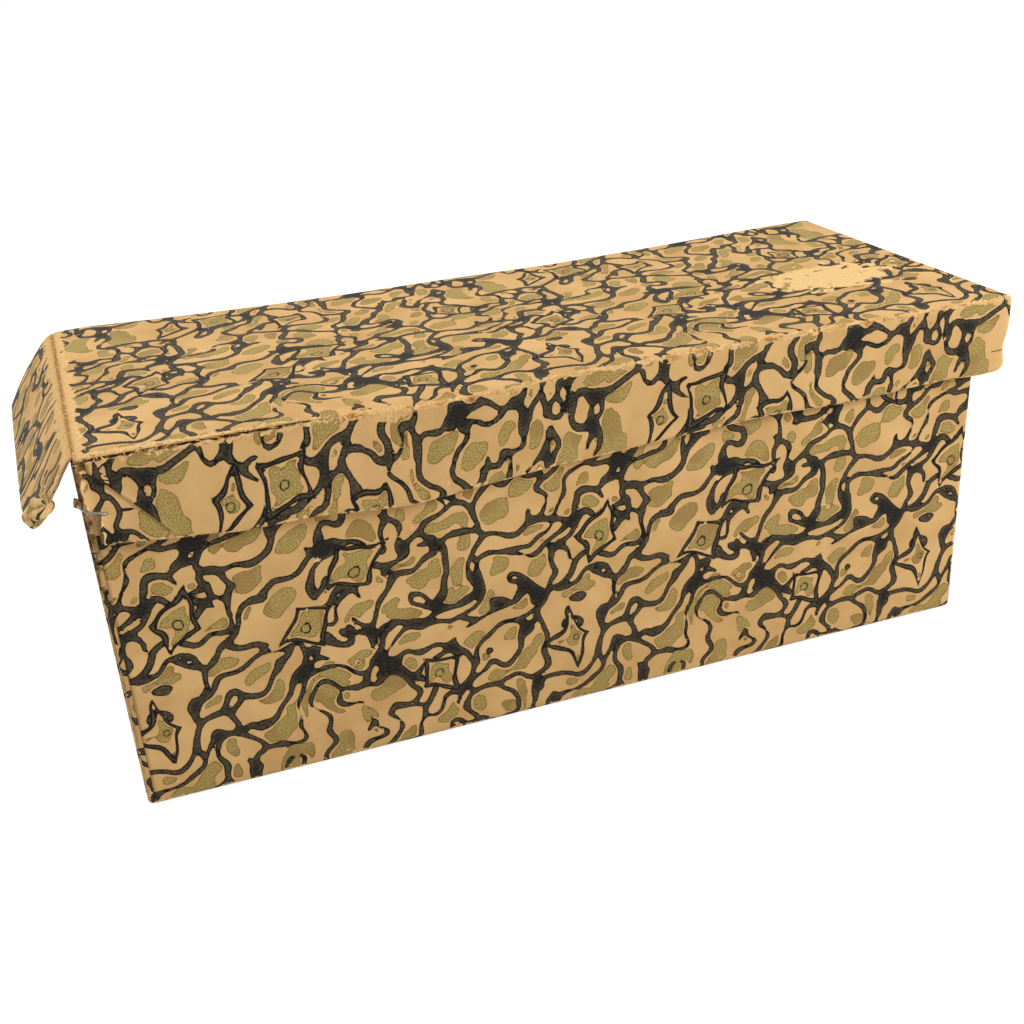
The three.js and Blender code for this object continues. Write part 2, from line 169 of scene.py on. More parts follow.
def sampled(field, u, v):
    """A field's value at sheet places in mm."""
    a = (np.asarray(u) / STEP - 0.5) % GRID
    b = (np.asarray(v) / STEP - 0.5) % GRID
    i, j = np.floor(a).astype(int), np.floor(b).astype(int)
    fa, fb = a - i, b - j
    i, j = i % GRID, j % GRID
    i1, j1 = (i + 1) % GRID, (j + 1) % GRID
    low = field[i, j] * (1 - fa) + field[i1, j] * fa
    high = field[i, j1] * (1 - fa) + field[i1, j1] * fa
    return low * (1 - fb) + high * fb


def cell_lie(v):
    """Direction and stretch of the cells at height v of the repeat: slanting, then nearly upright."""
    t = 0.5 + 0.5 * np.cos(2 * np.pi * (v - UPRIGHT_CELLS_AT) / REPEAT)
    t = smooth((t - 0.45) / 0.3)
    return np.radians(33 + 44 * t), 2.7 - 0.5 * t


def cell_measure(dx, dy, angle, stretch):
    """Distance as a cell measures it, which is longer along its angle than across."""
    along = (dx * np.cos(angle) + dy * np.sin(angle)) / stretch ** 0.5
    across = (-dx * np.sin(angle) + dy * np.cos(angle)) * stretch ** 0.5
    return np.hypot(along, across)


def brush_stroke(field, points, widths):
    """Joins a stroke of changing half width to a field of signed distances, positive inside."""
    for p, q, r0, r1 in zip(points[:-1], points[1:], widths[:-1], widths[1:]):
        d = q - p
        at, px, py = patch((p + q) / 2, np.hypot(*d) / 2 + max(r0, r1) + 2.0)
        px, py = px + d[0] / 2, py + d[1] / 2
        t = np.clip((px * d[0] + py * d[1]) / (d @ d + 1e-9), 0, 1)
        inside = r0 + t * (r1 - r0) - np.hypot(px - t * d[0], py - t * d[1])
        field[at] = np.maximum(field[at], inside)


def print_cells(rng, bend_x, bend_y):
    """Seeds of the cells, the nearest and next cell of each place and how far its border is."""
    seeds = []
    for c in rng.uniform(0, REPEAT, (6000, 2)):
        gap = across_repeat(c - np.array(seeds)) if seeds else np.full((1, 2), 99.0)
        if cell_measure(*gap.T, *cell_lie(c[1])).min() > CELL_SPACING:
            seeds.append(c)
    seeds = np.array(seeds)
    n = len(seeds)
    angle, stretch = cell_lie(seeds[:, 1])
    angle = angle + rng.normal(0, 0.25, n)
    stretch = stretch * rng.uniform(0.8, 1.2, n)
    size = rng.uniform(0.85, 1.2, n)
    first = np.full((GRID, GRID), 99.0)
    second = np.full((GRID, GRID), 99.5)
    own = np.zeros((GRID, GRID), int)
    other = np.zeros((GRID, GRID), int)
    for c in range(n):
        at, dx, dy = patch(seeds[c], CELL_REACH)
        d = cell_measure(dx + bend_x[at], dy + bend_y[at], angle[c], stretch[c]) / size[c]
        f, s, o, t = first[at], second[at], own[at], other[at]
        win = d < f
        runner = ~win & (d < s)
        second[at] = np.where(win, f, np.where(runner, d, s))
        other[at] = np.where(win, o, np.where(runner, c, t))
        first[at] = np.where(win, d, f)
        own[at] = np.where(win, c, o)
    gap = second - first
    return seeds, own, other, gap / np.maximum(slope(gap), 0.4)


def cell_shapes(seeds, own):
    """Middle, main direction, cross direction and half sizes of each cell as drawn."""
    cells = []
    for c in range(len(seeds)):
        u = across_repeat((np.argwhere(own == c) + 0.5) * STEP - seeds[c])
        val, vecs = np.linalg.eigh(np.cov(u.T))
        cells.append((seeds[c] + u.mean(0), vecs[:, 1], vecs[:, 0], *np.sqrt(val[::-1])))
    return cells


def rounded(field, spread, level, least_slope):
    """A field of signed distances with its sharp corners rounded off."""
    soft = blur(np.clip(field + 0.5, 0, 1), spread)
    return np.clip((soft - level) / np.maximum(slope(soft), least_slope), -2, 2)


def ink_lines(rng, own, other, edge, count):
    """Lines between the cells, some left out and some swollen, and strokes that stray from them."""
    table = rng.uniform(0, 1, (count, count))
    table = np.triu(table) + np.triu(table, 1).T
    dice = table[own, other]
    left_out = dice < 0.1
    wide = np.clip(0.49 + 0.26 * dice + 0.12 * soft_noise(rng, 9.0), 0.55, 0.85)
    wide = wide + 2.4 * np.clip(soft_noise(rng, 13.0) - 1.3, 0, 1.0)
    ink = np.clip(np.where(left_out, -3.0, wide - edge), -3, 3)
    on_line = np.argwhere((edge < 0.3) & ~left_out)
    for _ in range(STRAY_STROKES):
        p = (on_line[rng.integers(len(on_line))] + 0.5) * STEP
        a = cell_lie(p[1])[0] + rng.normal(0, 0.55) + np.pi * rng.integers(2)
        length = rng.uniform(2.5, 7.0)
        turn = rng.normal(0, 0.2)
        half = rng.uniform(0.7, 1.1)
        points, widths = [p], [half]
        for k in range(6):
            a += turn
            p = p + length / 6 * np.array([np.cos(a), np.sin(a)])
            points.append(p)
            widths.append(max(half * (1 - (k + 1) / 6) ** 0.8, 0.42))
        brush_stroke(ink, points, widths)
    return rounded(ink, 0.42, 0.44, 0.12)


def star_cells(rng, cells):
    """Which of the widest cells hold a star, the stars' field and the distance from their middles."""
    widest = np.argsort([-c[4] for c in cells])[: 2 * (len(cells) // 9)]
    starred = list(widest[rng.permutation(len(widest))[: len(cells) // 8]])
    sway_x, sway_y = 0.4 * soft_noise(rng, 11.0), 0.4 * soft_noise(rng, 11.0)
    star = np.full((GRID, GRID), -3.0)
    eye = np.full((GRID, GRID), 9.0)
    for c in starred:
        middle, main = cells[c][:2]
        at, dx, dy = patch(middle, STAR_REACH)
        dx, dy = dx + sway_x[at], dy + sway_y[at]
        t = np.arctan2(main[1], main[0]) + rng.normal(0.0, 0.35)
        power = rng.uniform(0.72, 0.84)
        lx, ly = dx * np.cos(t) + dy * np.sin(t), -dx * np.sin(t) + dy * np.cos(t)
        lx = np.abs(lx) / (rng.uniform(1.0, 1.3) + rng.uniform(-0.22, 0.22) * np.sign(lx))
        ly = np.abs(ly) / (rng.uniform(0.75, 1.0) + rng.uniform(-0.18, 0.18) * np.sign(ly))
        reach = (lx ** power + ly ** power) ** (1 / power)
        steep = np.clip(np.hypot(*np.gradient(reach, STEP)), 0.6, 1.7)
        star[at] = np.maximum(star[at], (rng.uniform(5.2, 7.4) - reach) / steep)
        from_middle = np.hypot(dx - rng.uniform(-0.6, 0.6), dy + 0.4) / rng.uniform(0.8, 1.2)
        eye[at] = np.minimum(eye[at], from_middle)
    return starred, np.clip(star, -3, 6), eye


def gold_ovals(rng, cells, starred, ink, star):
    """One to three ovals in each plain cell, clear of the ink, and a smaller star in each star."""
    gold = np.full((GRID, GRID), -3.0)
    for c, (middle, main, side, long, short) in enumerate(cells):
        if c in starred:
            continue
        count = rng.choice([1, 2, 3], p=[0.36, 0.42, 0.22])
        for s in ([0.0], [-0.95, 0.95], [-1.25, 0.0, 1.25])[count - 1]:
            at = middle + main * (s + rng.normal(0, 0.2)) * long + side * rng.normal(0, 0.25) * short
            half = rng.uniform(0.6, 1.25) * long / (1 + 0.5 * count)
            bow = rng.normal(0, 0.3)
            r = rng.uniform(0.6, 1.0) * short * (1.0 if count < 2 else 0.9)
            points = [at + main * k * half + side * bow * (k * k - 0.5) * half
                      for k in (-1, -0.5, 0, 0.5, 1)]
            brush_stroke(gold, points, [r * 0.6, r * 0.9, r, r * 0.95, r * 0.7])
    gold = gold + 0.25 * soft_noise(rng, 5.0)
    clear = np.clip(0.55 + 0.5 * soft_noise(rng, 12.0), -0.4, 0.9)
    gold = np.minimum(np.minimum(gold, -ink - clear), -star - 1.2)
    gold = np.maximum(gold, star - 1.35 + 0.55 * soft_noise(rng, 5.0))
    return rounded(gold, 0.35, 0.5, 0.15)


def draw_print():
    """The print's ink, gold and stars as signed distances in mm, its eyes and its pools of ink."""
    rng = np.random.default_rng(PRINT_SEED)
    bend_x = 2.7 * soft_noise(rng, 27.0) + 0.95 * soft_noise(rng, 10.0)
    bend_y = 2.7 * soft_noise(rng, 27.0) + 0.95 * soft_noise(rng, 10.0)
    seeds, own, other, edge = print_cells(rng, bend_x, bend_y)
    ink = ink_lines(rng, own, other, edge, len(seeds))
    cells = cell_shapes(seeds, own)
    starred, star, eye = star_cells(rng, cells)
    ink = np.minimum(ink, np.clip(-star - 0.15, -1.2, 9))
    gold = gold_ovals(rng, cells, starred, ink, star)
    return ink, gold, star, eye, blur(np.clip(ink + 0.5, 0, 1), 1.3)


INK, GOLD, STAR, EYE, POOL = draw_print()
wear_rng = np.random.default_rng(WEAR_SEED)
FINE = soft_noise(wear_rng, 2.6)
MIDDLE = soft_noise(wear_rng, 6.0)
BROAD = soft_noise(wear_rng, 18.0)


# How the box has sagged and its edges have bent, measured along X in mm

def profile(*points):
    """A smooth curve through (place, value) pairs."""
    px, py = np.array(points).T
    axis = np.arange(-130.0, 130.0, 1.0)
    values = np.interp(axis, px, py)
    kernel = np.exp(-np.linspace(-2, 2, 9) ** 2)
    values = np.convolve(np.pad(values, 4, mode="edge"), kernel / kernel.sum(), mode="valid")
    return lambda x: np.interp(x, axis, values)


back_sag = profile(
    (-104, 0.3), (-95, 0.1), (-80, 0.7), (-54, 1.4), (-27, 1.7), (1, 1.6), (30, 1.8), (61, 1.2),
    (94, 0.2), (107, 0.0))
front_crush = profile(
    (-60, 0.0), (-46, 1.1), (-32, 1.6), (-17, 1.1), (-6, 0.4), (10, 0.1), (30, 0.0))
skirt_drop = profile(
    (-101, -0.8), (-89, 0.6), (-82, 1.1), (-76, 2.0), (-60, 1.85), (-39, 2.25), (-25, 1.25), (-8, 0.9),
    (3, 0.9), (25, 0.0), (49, -0.8), (58, -0.5), (70, -0.2), (86, -0.9), (97, -1.2), (103, -0.6),
    (111, -0.9))
skirt_flare = profile(
    (-101, 0.2), (-85, 0.6), (-70, 0.85), (-40, 0.9), (-20, 0.6), (0, 0.25), (40, 0.15), (75, 0.3),
    (100, 0.1))
SKIRT_BEND_TOP = 82.5
PINCH_HEIGHT = 71.0
LOW_CORNER_RADIUS = 3.2


def sag(x, y):
    """How far the lid's top, and the rim below it, has come down."""
    broad = back_sag(x) * smooth((y + LID_HALF_WIDTH) / (2 * LID_HALF_WIDTH))
    return broad + front_crush(x) * np.exp(-np.maximum(y + LID_HALF_WIDTH, 0) / 12.0)


def bend_lid(p):
    """Lid places as they are now: sagged, with waved and flared skirts and a pressed crease."""
    x, y, z = p[..., 0], p[..., 1], p[..., 2]
    depth = np.clip((SKIRT_BEND_TOP - z) / (SKIRT_BEND_TOP - SKIRT_LOW), 0, 1)
    front = smooth((-40.0 - y) / 4.0)
    buckle = 0.5 * hump(x, -36.0, 3.5) - 0.35 * hump(x, -31.0, 3.0)
    out = p.copy()
    out[..., 1] = y - front * (skirt_flare(x) * depth - buckle * np.sin(np.pi * depth) * 0.6)
    crease = np.clip(1 - (x - LID_LEFT) / 1.8, 0, 1) ** 2
    out[..., 2] = z - sag(x, y) - front * skirt_drop(x) * depth - 0.6 * crease * (z > LID_TOP - 0.9)
    # the right end of the front skirt: pinched in above its rounded lower corner
    near = smooth((-39.0 - y) / 6.0)
    pinch = near * smooth((x - 105.0) / 7.0) * hump(z, PINCH_HEIGHT, 3.6)
    dx = np.maximum(x - LID_RIGHT + LOW_CORNER_RADIUS, 0)
    dz = np.maximum(SKIRT_LOW + LOW_CORNER_RADIUS - z, 0)
    in_corner = (dx > 0) & (dz > 0)
    round_off = near * (1 - np.maximum(dx, dz) / np.maximum(np.hypot(dx, dz), 1e-6)) * in_corner
    out[..., 0] = x - 1.1 * pinch - dx * round_off
    out[..., 2] = out[..., 2] + dz * round_off
    return out


def bend_base(p):
    """Base places as they are now: its rim has come down with the lid."""
    x, y, z = p[..., 0], p[..., 1], p[..., 2]
    out = p.copy()
    out[..., 2] = z - sag(x, y) * smooth((z - 64.0) / 18.0)
    return out


# Panels of paper: grids of places with their sheet places and their wear

class Panels:
    """Grids that are joined into one mesh where their borders meet; sheet is their place on the print."""

    def __init__(self, sheet):
        self.sheet = sheet
        self.places, self.faces, self.marks = [], [], []
        self.count = 0

    def add(self, place, u, v, wear, deep, keep=None, flip=False, painted_slit_shade=-3.0):
        """A grid of places, rows x columns x 3 in mm, with its sheet places, wear and depth of wear.

        keep says which quads stay, and the last argument how far inside a slit a place is; the slit is
        painted shade, drawn as ink where the dark inside of a cut would be.
        """
        rows, columns = place.shape[:2]
        ids = np.arange(rows * columns).reshape(rows, columns) + self.count
        quads = np.stack([ids[:-1, :-1], ids[:-1, 1:], ids[1:, 1:], ids[1:, :-1]], -1)
        if flip:
            quads = quads[..., ::-1]
        quads = quads.reshape(-1, 4)
        if keep is not None:
            quads = quads[keep.reshape(-1)]
        self.places.append(place.reshape(-1, 3))
        self.faces.append(quads)
        u, v = u + self.sheet[0], v + self.sheet[1]
        marks = np.broadcast_arrays(u, v, wear, deep, painted_slit_shade, np.zeros((rows, columns)))[:5]
        self.marks.append(np.stack([m.reshape(-1) for m in marks], -1))
        self.count += rows * columns

    def piece(self, name, bend=None):
        """One mesh of all the grids, moved by bend, with the print and the wear as attributes."""
        places = np.concatenate(self.places)
        faces = np.concatenate(self.faces)
        marks = np.concatenate(self.marks)[faces.reshape(-1)]
        # slits are painted shade: their marks join the ink, so that they are drawn black
        ink = np.maximum(sampled(INK, marks[:, 0], marks[:, 1]), marks[:, 4])
        quad_ink = ink.reshape(-1, 4)
        along = np.minimum(quad_ink[:, 0], quad_ink[:, 2]) >= np.minimum(quad_ink[:, 1], quad_ink[:, 3])
        # places on the same 0.002 mm are one corner
        key = np.round(places * 500 + 0.37).astype(np.int64)
        _, pick, joined = np.unique(key, axis=0, return_index=True, return_inverse=True)
        places = places[pick]
        if bend:
            places = bend(places)
        polygons, corners = [], []
        for k, quad in enumerate(joined.reshape(-1)[faces]):
            ring = [(int(v), 4 * k + c) for c, v in enumerate(quad) if v != quad[c - 1]]
            if len(ring) == 4:
                # cut where a thin stroke runs, so that it stays whole
                halves = ((0, 1, 2), (0, 2, 3)) if along[k] else ((0, 1, 3), (1, 2, 3))
            else:
                halves = ((0, 1, 2),) if len(ring) == 3 else ()
            for half in halves:
                polygons.append([ring[c][0] for c in half])
                corners.extend(ring[c][1] for c in half)
        marks, ink = marks[corners], ink[corners]
        mesh = bpy.data.meshes.new(name)
        mesh.from_pydata((places * MM).tolist(), [], polygons)
        u, v, wear, deep, _ = marks.T
        # the ink attribute holds the print's ink and the slits' painted shade
        carried = {"ink": ink, "wear": wear, "deep": deep}
        for label, field in (("gold", GOLD), ("star", STAR), ("eye", EYE), ("pool", POOL)):
            carried[label] = sampled(field, u, v)
        for label, values in carried.items():
            layer = mesh.attributes.new(label, "FLOAT", "CORNER")
            layer.data.foreach_set("value", values.astype(np.float32))
        sheet = mesh.uv_layers.new(name="sheet")
        sheet.data.foreach_set("uv", (np.stack([u, v], -1) * 0.01).astype(np.float32).reshape(-1))
        mesh.polygons.foreach_set("use_smooth", [True] * len(mesh.polygons))
        bm = bmesh.new()
        bm.from_mesh(mesh)
        loose = [v for v in bm.verts if not v.link_faces]
        bmesh.ops.delete(bm, geom=loose, context="VERTS")
        bm.to_mesh(mesh)
        bm.free()
        return place_object(name, mesh)


def steps(*stops):
    """Places from stop to stop: steps(a, spacing, b, spacing, c) gives an even row in each span."""
    out = [stops[0]]
    for k in range(1, len(stops), 2):
        low, high = stops[k - 1], stops[k + 1]
        n = max(1, int(round(abs(high - low) / stops[k])))
        out.extend(low + (high - low) * (i + 1) / n for i in range(n))
    return np.array(out)


# Base covering

TINY = 1e-6
LEAST_RADIUS = 0.15
RIM_START = BASE_HEIGHT - RIM_RADIUS
SPLIT_FOOT = BASE_HEIGHT - SPLIT_LENGTH


def base_place(X, Y, inset, z):
    """Puts a place on the sharp base, moved in by inset, on the rounded one."""
    r = np.maximum(CORNER_RADIUS - inset, LEAST_RADIUS)
    hx, hy = BASE_HALF_LENGTH - inset, BASE_HALF_WIDTH - inset
    px = np.where(np.abs(X) >= BASE_HALF_LENGTH - TINY, np.sign(X) * hx, np.clip(X, -hx, hx))
    py = np.where(np.abs(Y) >= BASE_HALF_WIDTH - TINY, np.sign(Y) * hy, np.clip(Y, -hy, hy))
    qx, qy = np.clip(px, -hx + r, hx - r), np.clip(py, -hy + r, hy - r)
    dx, dy = px - qx, py - qy
    far = np.maximum(np.hypot(dx, dy), TINY)
    return np.stack(np.broadcast_arrays(qx + r * dx / far, qy + r * dy / far, z + 0 * px), -1)


def base_profile(spacing):
    """Inset, height and sheet height from the turn-under, up the wall and down inside the rim."""
    rows = [(far, WRAP, -far) for far in (TURN_UNDER, 6.0, 3.2)]
    for a in np.radians((0, 22.5, 45, 67.5)):
        inset, z = BOTTOM_RADIUS * (1 - np.sin(a)), WRAP + BOTTOM_RADIUS * (1 - np.cos(a))
        rows.append((inset, z, a * BOTTOM_RADIUS - 1.0))
    rows.extend((0.0, z, z) for z in steps(WRAP + BOTTOM_RADIUS, spacing, RIM_START))
    for a in np.radians((30, 60, 90)):
        inset, z = RIM_RADIUS * (1 - np.cos(a)), BASE_HEIGHT - RIM_RADIUS * (1 - np.sin(a))
        rows.append((inset, z, RIM_START + a * RIM_RADIUS))
    rows.append((1.7, BASE_HEIGHT, 83.4))
    rows.append((2.1, BASE_HEIGHT - 0.15, 83.9))
    rows.append((WALL, BASE_HEIGHT - 0.6, 84.4))
    rows.append((WALL, 76.0, 89.0))
    rows.append((WALL, BASE_HEIGHT - RIM_TURN_IN, 95.0))
    return np.array(rows).T


def base_wear(u, z, from_edge):
    """Rubbed places: upright edges, the foot and a few scuffs."""
    fine, middle = sampled(FINE, u, z + 40), sampled(MIDDLE, u, z + 40)
    broad = sampled(BROAD, u, z + 17)
    upright = 0.25 + 0.55 * fine + 0.5 * broad - from_edge
    foot = 0.1 + 0.5 * fine + 0.5 * broad - np.abs(z - 0.6)
    scuff = np.minimum(middle - 3.2, 0.5) + 0.2 * fine
    return np.maximum(np.maximum(upright, foot), scuff)


def base_covering():
    """The base's sheet in two pieces: front and right end, back and left end."""
    half_length, half_width = BASE_HALF_LENGTH, BASE_HALF_WIDTH
    # sheet places of the upright edges, from the front right one round to the front left one
    front_right = half_length
    back_right = front_right + 2 * half_width
    back_left = back_right + 2 * half_length
    front_left = back_left + 2 * half_width

    def strip(panels, X, Y, u, edges, keep=None, under=0.0):
        """A wall of the sheet, with what is turned over its rim and under it."""
        X, Y = np.broadcast_arrays(X, Y)
        place = base_place(X[None, :], Y[None, :], (inset + under)[:, None], z[:, None])
        from_edge = np.min([np.abs(u - e) for e in edges], 0)
        wear = base_wear(u[None, :] + 0 * z[:, None], v[:, None] + 0 * u[None, :], from_edge[None, :])
        deep = np.clip(wear - 0.5, 0, 1)
        panels.add(place, u[None, :], v[:, None], wear, deep, keep(u, v) if keep else None)

    def unsplit(u, v):
        """Leaves out the quads of the split at the front left upright edge."""
        um, vm = np.meshgrid((u[1:] + u[:-1]) / 2, (v[1:] + v[:-1]) / 2)
        half = 0.95 * smooth((vm - SPLIT_FOOT) / 16) + 0.35 * sampled(FINE, 3.0 + 0 * vm, vm)
        return ~((np.abs(um - front_left + 0.2) < half) & (vm > SPLIT_FOOT) & (vm < 84))

    front = Panels(BASE_SHEET)
    inset, z, v = base_profile(0.74)
    xs = steps(1.7 - half_length, 0.74, half_length - 2.4, 0.6, half_length)
    ys = steps(-half_width, 0.6, 2.4 - half_width, 1.15, half_width - 2.4, 0.6, half_width)
    lip = steps(half_length, 0.5, half_length - 1.5)
    strip(front, xs, -half_width, xs, (front_right,))
    strip(front, half_length, ys, half_length + (ys + half_width), (front_right, back_right))
    strip(front, lip, half_width, back_right + half_length - lip, (back_right,))

    back = Panels(BASE_SHEET)
    inset, z, v = base_profile(1.0)
    xs = steps(half_length - 0.4, 1.05, 2.4 - half_length, 0.6, -half_length)
    ys = steps(half_width, 0.6, half_width - 2.4, 1.05, 2.4 - half_width, 0.4, -half_width)
    lip = steps(-half_length, 0.4, 4.4 - half_length)
    strip(back, xs, half_width, back_right + half_length - xs, (back_right, back_left), under=0.1)
    strip(back, -half_length, ys, back_left + half_width - ys, (back_left, front_left), unsplit)
    strip(back, lip, -half_width, front_left + lip + half_length, (front_left,), unsplit, 0.12)
    return front.piece("base_covering_front", bend_base), back.piece("base_covering_back", bend_base)


# Lid covering, with the places of its marks

MITRE_TOP = 81.9
MITRE_START = -102.3
MITRE_RUN = 15.3
MITRE_FALL = 17.4
PATCH_X = 85.0
PATCH_Y = -10.0
CHIP_X = -42.0
# The front skirt's slit near its right end, drawn as painted shade
SLIT_START = 107.4
SLIT_HEIGHT = 70.5
SLIT_HALF = 0.42
COARSE_JOIN = -80.0
MITRE_COLUMNS = 28

# Inset and height of a skirt's paper round its board's lower edge and up behind it
HEM_ROWS = ((0.0, SKIRT_STRAIGHT_END), (0.25, 64.95), (0.7, SKIRT_LOW), (1.5, SKIRT_LOW), (1.95, 64.95),
            (WALL, SKIRT_STRAIGHT_END), (WALL, 69.0), (WALL, SKIRT_LOW + SKIRT_TURN_IN))


def lid_place(X, Y, Z, inset=0.0):
    """Puts a place on the sharp lid on the rounded one; inset ones are on the skirts' turned-in hem."""
    X, Y, Z = np.broadcast_arrays(X, Y, Z)
    r = np.maximum(LID_ROUND - inset, LEAST_RADIUS)
    right, half = LID_RIGHT - inset, LID_HALF_WIDTH - inset
    px = np.where(X >= LID_RIGHT - TINY, right, np.minimum(X, right))
    py = np.where(np.abs(Y) >= LID_HALF_WIDTH - TINY, np.sign(Y) * half, np.clip(Y, -half, half))
    qx, qy = np.minimum(px, right - r), np.clip(py, -half + r, half - r)
    qz = np.minimum(Z, LID_TOP - LID_ROUND) if np.all(inset == 0) else Z
    dx, dy, dz = px - qx, py - qy, Z - qz
    far = np.maximum(np.sqrt(dx * dx + dy * dy + dz * dz), TINY)
    return np.stack([qx + r * dx / far, qy + r * dy / far, qz + r * dz / far], -1)


def tear_gap(x):
    """How far the front skirt's paper has dropped from the top's along the torn edge."""
    ragged = 0.2 * smooth((-50.0 - x) / 8.0) * sampled(FINE, x, 0 * x + 5.0)
    return np.maximum(0.95 * smooth((-50.0 - x) / 14.0) + ragged, 0.0)


def mitre_start(z):
    """Where the front skirt's paper begins at height z."""
    return MITRE_START + MITRE_RUN * np.clip((MITRE_TOP - z) / MITRE_FALL, 0, 1)


def lid_wear(x, y, z, u, v):
    """How far inside a rubbed place, in mm, and how deep it goes, for places on the sharp lid."""
    fine, middle, broad = sampled(FINE, u, v), sampled(MIDDLE, u, v), sampled(BROAD, u, v)
    from_front = np.hypot(y + LID_HALF_WIDTH, LID_TOP - z)
    from_back = np.hypot(LID_HALF_WIDTH - y, LID_TOP - z)
    from_right = np.hypot(LID_RIGHT - x, LID_TOP - z)
    from_crease = x - LID_LEFT
    on_top = z > LID_TOP - 0.01
    torn = smooth((-52.0 - x) / 12.0)
    front = 0.9 + 0.5 * fine + 0.35 * middle - from_front
    rim = 1.1 + 1.3 * smooth((-70.0 - x) / 26.0)
    front = np.where(on_top, np.maximum(front, torn * rim + 0.4 * fine - from_front), front)
    back = 0.2 + 0.5 * fine + 0.3 * broad - from_back
    right = 0.45 + 0.5 * fine + 0.3 * broad - from_right
    crease = np.where(on_top, 2.5 + 0.45 * fine + 0.5 * middle - from_crease, -9)
    rubbed = 9.0 * (1 - np.hypot((x - PATCH_X) / 15.5, (y - PATCH_Y) / 10.5)) + 1.8 * middle + 1.0 * fine
    rubbed = np.where(on_top, rubbed, -9)
    chip = 2.6 + 0.5 * fine - np.hypot((x - CHIP_X) / 1.7, from_front)
    corner = 2.4 + 0.6 * fine - np.hypot(LID_RIGHT - x, from_front)
    back_corner = 1.8 + 0.6 * fine - np.hypot(LID_RIGHT - x, from_back)
    hem = 0.15 + 0.5 * fine + 0.3 * broad - np.abs(z - SKIRT_LOW)
    upright = np.where(on_top, -9, 0.3 + 0.5 * fine - np.hypot(LID_RIGHT - x, y + LID_HALF_WIDTH))
    torn_rim = np.where(on_top | (x > -50), -9, 0.5 + 0.5 * fine - (LID_TOP - tear_gap(x) - z))
    scuff = np.minimum(middle - 3.1, 0.5) + 0.2 * fine
    wear = np.max([front, back, right, crease, rubbed, chip, corner, back_corner, hem, upright, torn_rim,
                   scuff], 0)
    edge_deep = np.clip(front, 0, 1) * (0.28 + 0.35 * middle) * (1 - 0.6 * torn) * (chip < 0)
    crease_deep = 0.9 * np.clip(1.0 - from_crease, 0, 1)
    deep = np.max([crease_deep, edge_deep, np.clip(corner, 0, 1) * 0.3, 0.35 * (chip > 0),
                   0.15 * (rubbed < -1)], 0)
    return wear, np.clip(deep, 0, 1)


def lid_covering():
    """The lid's sheet: its top, the skirts that are still on it and their turned-in hems."""
    lid = Panels(LID_SHEET)
    column = np.arange(MITRE_COLUMNS + 1) / MITRE_COLUMNS
    xs_left = LID_LEFT + (COARSE_JOIN - LID_LEFT) * column
    xs_rest = steps(COARSE_JOIN, 0.9, LID_RIGHT - 2.5, 0.6, LID_RIGHT)[1:]
    half = LID_HALF_WIDTH
    ys = steps(-half, 0.55, 2.2 - half, 0.95, half - 2.5, 0.6, half)

    X, Y = np.meshgrid(np.concatenate([xs_left, xs_rest]), ys)
    u, v = X, SHEET_FRONT_EDGE + Y + LID_HALF_WIDTH
    wear, deep = lid_wear(X, Y, LID_TOP + 0 * X, u, v)
    lid.add(lid_place(X, Y, LID_TOP), u, v, wear, deep)

    # rows of a skirt, as shares of the way down from the top edge to the hem
    share = np.concatenate([[0, 0.025, 0.055, 0.09, 0.722, 0.737], steps(0.13, 0.046, 1.0)])
    share = np.sort(share)[:, None]

    def skirt(X, Y, edge_z, sheet, flip):
        """sheet gives the sheet place for a place on the skirt and its distance down from the top."""
        X, Y, Z = np.broadcast_arrays(X, Y, edge_z + (SKIRT_STRAIGHT_END - edge_z) * share)
        u, v = sheet(X, Y, LID_TOP - Z)
        wear, deep = lid_wear(X, Y, Z, u, v)
        place = lid_place(X, Y, Z)
        if np.all(Y == -LID_HALF_WIDTH):
            place[..., 1] -= 0.24 * np.clip(1 - (X - mitre_start(Z)) / 1.3, 0, 1) ** 2
        # A slit near the front skirt's right end as painted shade: black ink where the dark inside of the
        # cut would be; the mesh has no opening there
        slit_shade = np.minimum(SLIT_HALF - 3.0 * np.abs(Z - SLIT_HEIGHT), X - SLIT_START)
        slit_shade = np.where(Y == -LID_HALF_WIDTH, slit_shade, -3.0)
        lid.add(place, u, v, wear, deep, None, flip, slit_shade)
        X, Y = X[-1], Y[-1]
        run = 0.0
        for (d0, z0), (d1, z1) in zip(HEM_ROWS[:-1], HEM_ROWS[1:]):
            lower = run + np.hypot(d1 - d0, z1 - z0)
            down = LID_TOP - SKIRT_STRAIGHT_END + np.array([[run], [lower]]) + 0 * X
            u, v = sheet(X + 0 * down, Y + 0 * down, down)
            wear = np.where(np.array([[z0], [z1]]) < SKIRT_STRAIGHT_END, 0.2, -0.5)
            wear = wear + 0.5 * sampled(FINE, u, v)
            wear = np.where(np.array([[d0], [d1]]) > 1.9, -1.0, wear)
            rows = np.stack([lid_place(X, Y, z + 0 * X, d) for d, z in ((d0, z0), (d1, z1))])
            lid.add(rows, u, v, wear, 0.0, None, flip)
            run = lower

    # the long skirts' left ends are cut on the mitre
    start = mitre_start(LID_TOP + (SKIRT_STRAIGHT_END - LID_TOP) * share)
    X = np.concatenate([start + (COARSE_JOIN - start) * column, xs_rest + 0 * start], 1)
    edge_z = LID_TOP - tear_gap(X)
    skirt(X, -LID_HALF_WIDTH, edge_z, lambda x, y, down: (x, SHEET_FRONT_EDGE - down), True)
    skirt(X, LID_HALF_WIDTH, edge_z, lambda x, y, down: (x, SHEET_BACK_EDGE + down), False)
    skirt(LID_RIGHT, ys[None, :], LID_TOP + 0 * ys[None, :],
          lambda x, y, down: (LID_RIGHT + down, SHEET_FRONT_EDGE + y + LID_HALF_WIDTH), True)
    return lid.piece("lid_covering", bend_lid)


# Materials

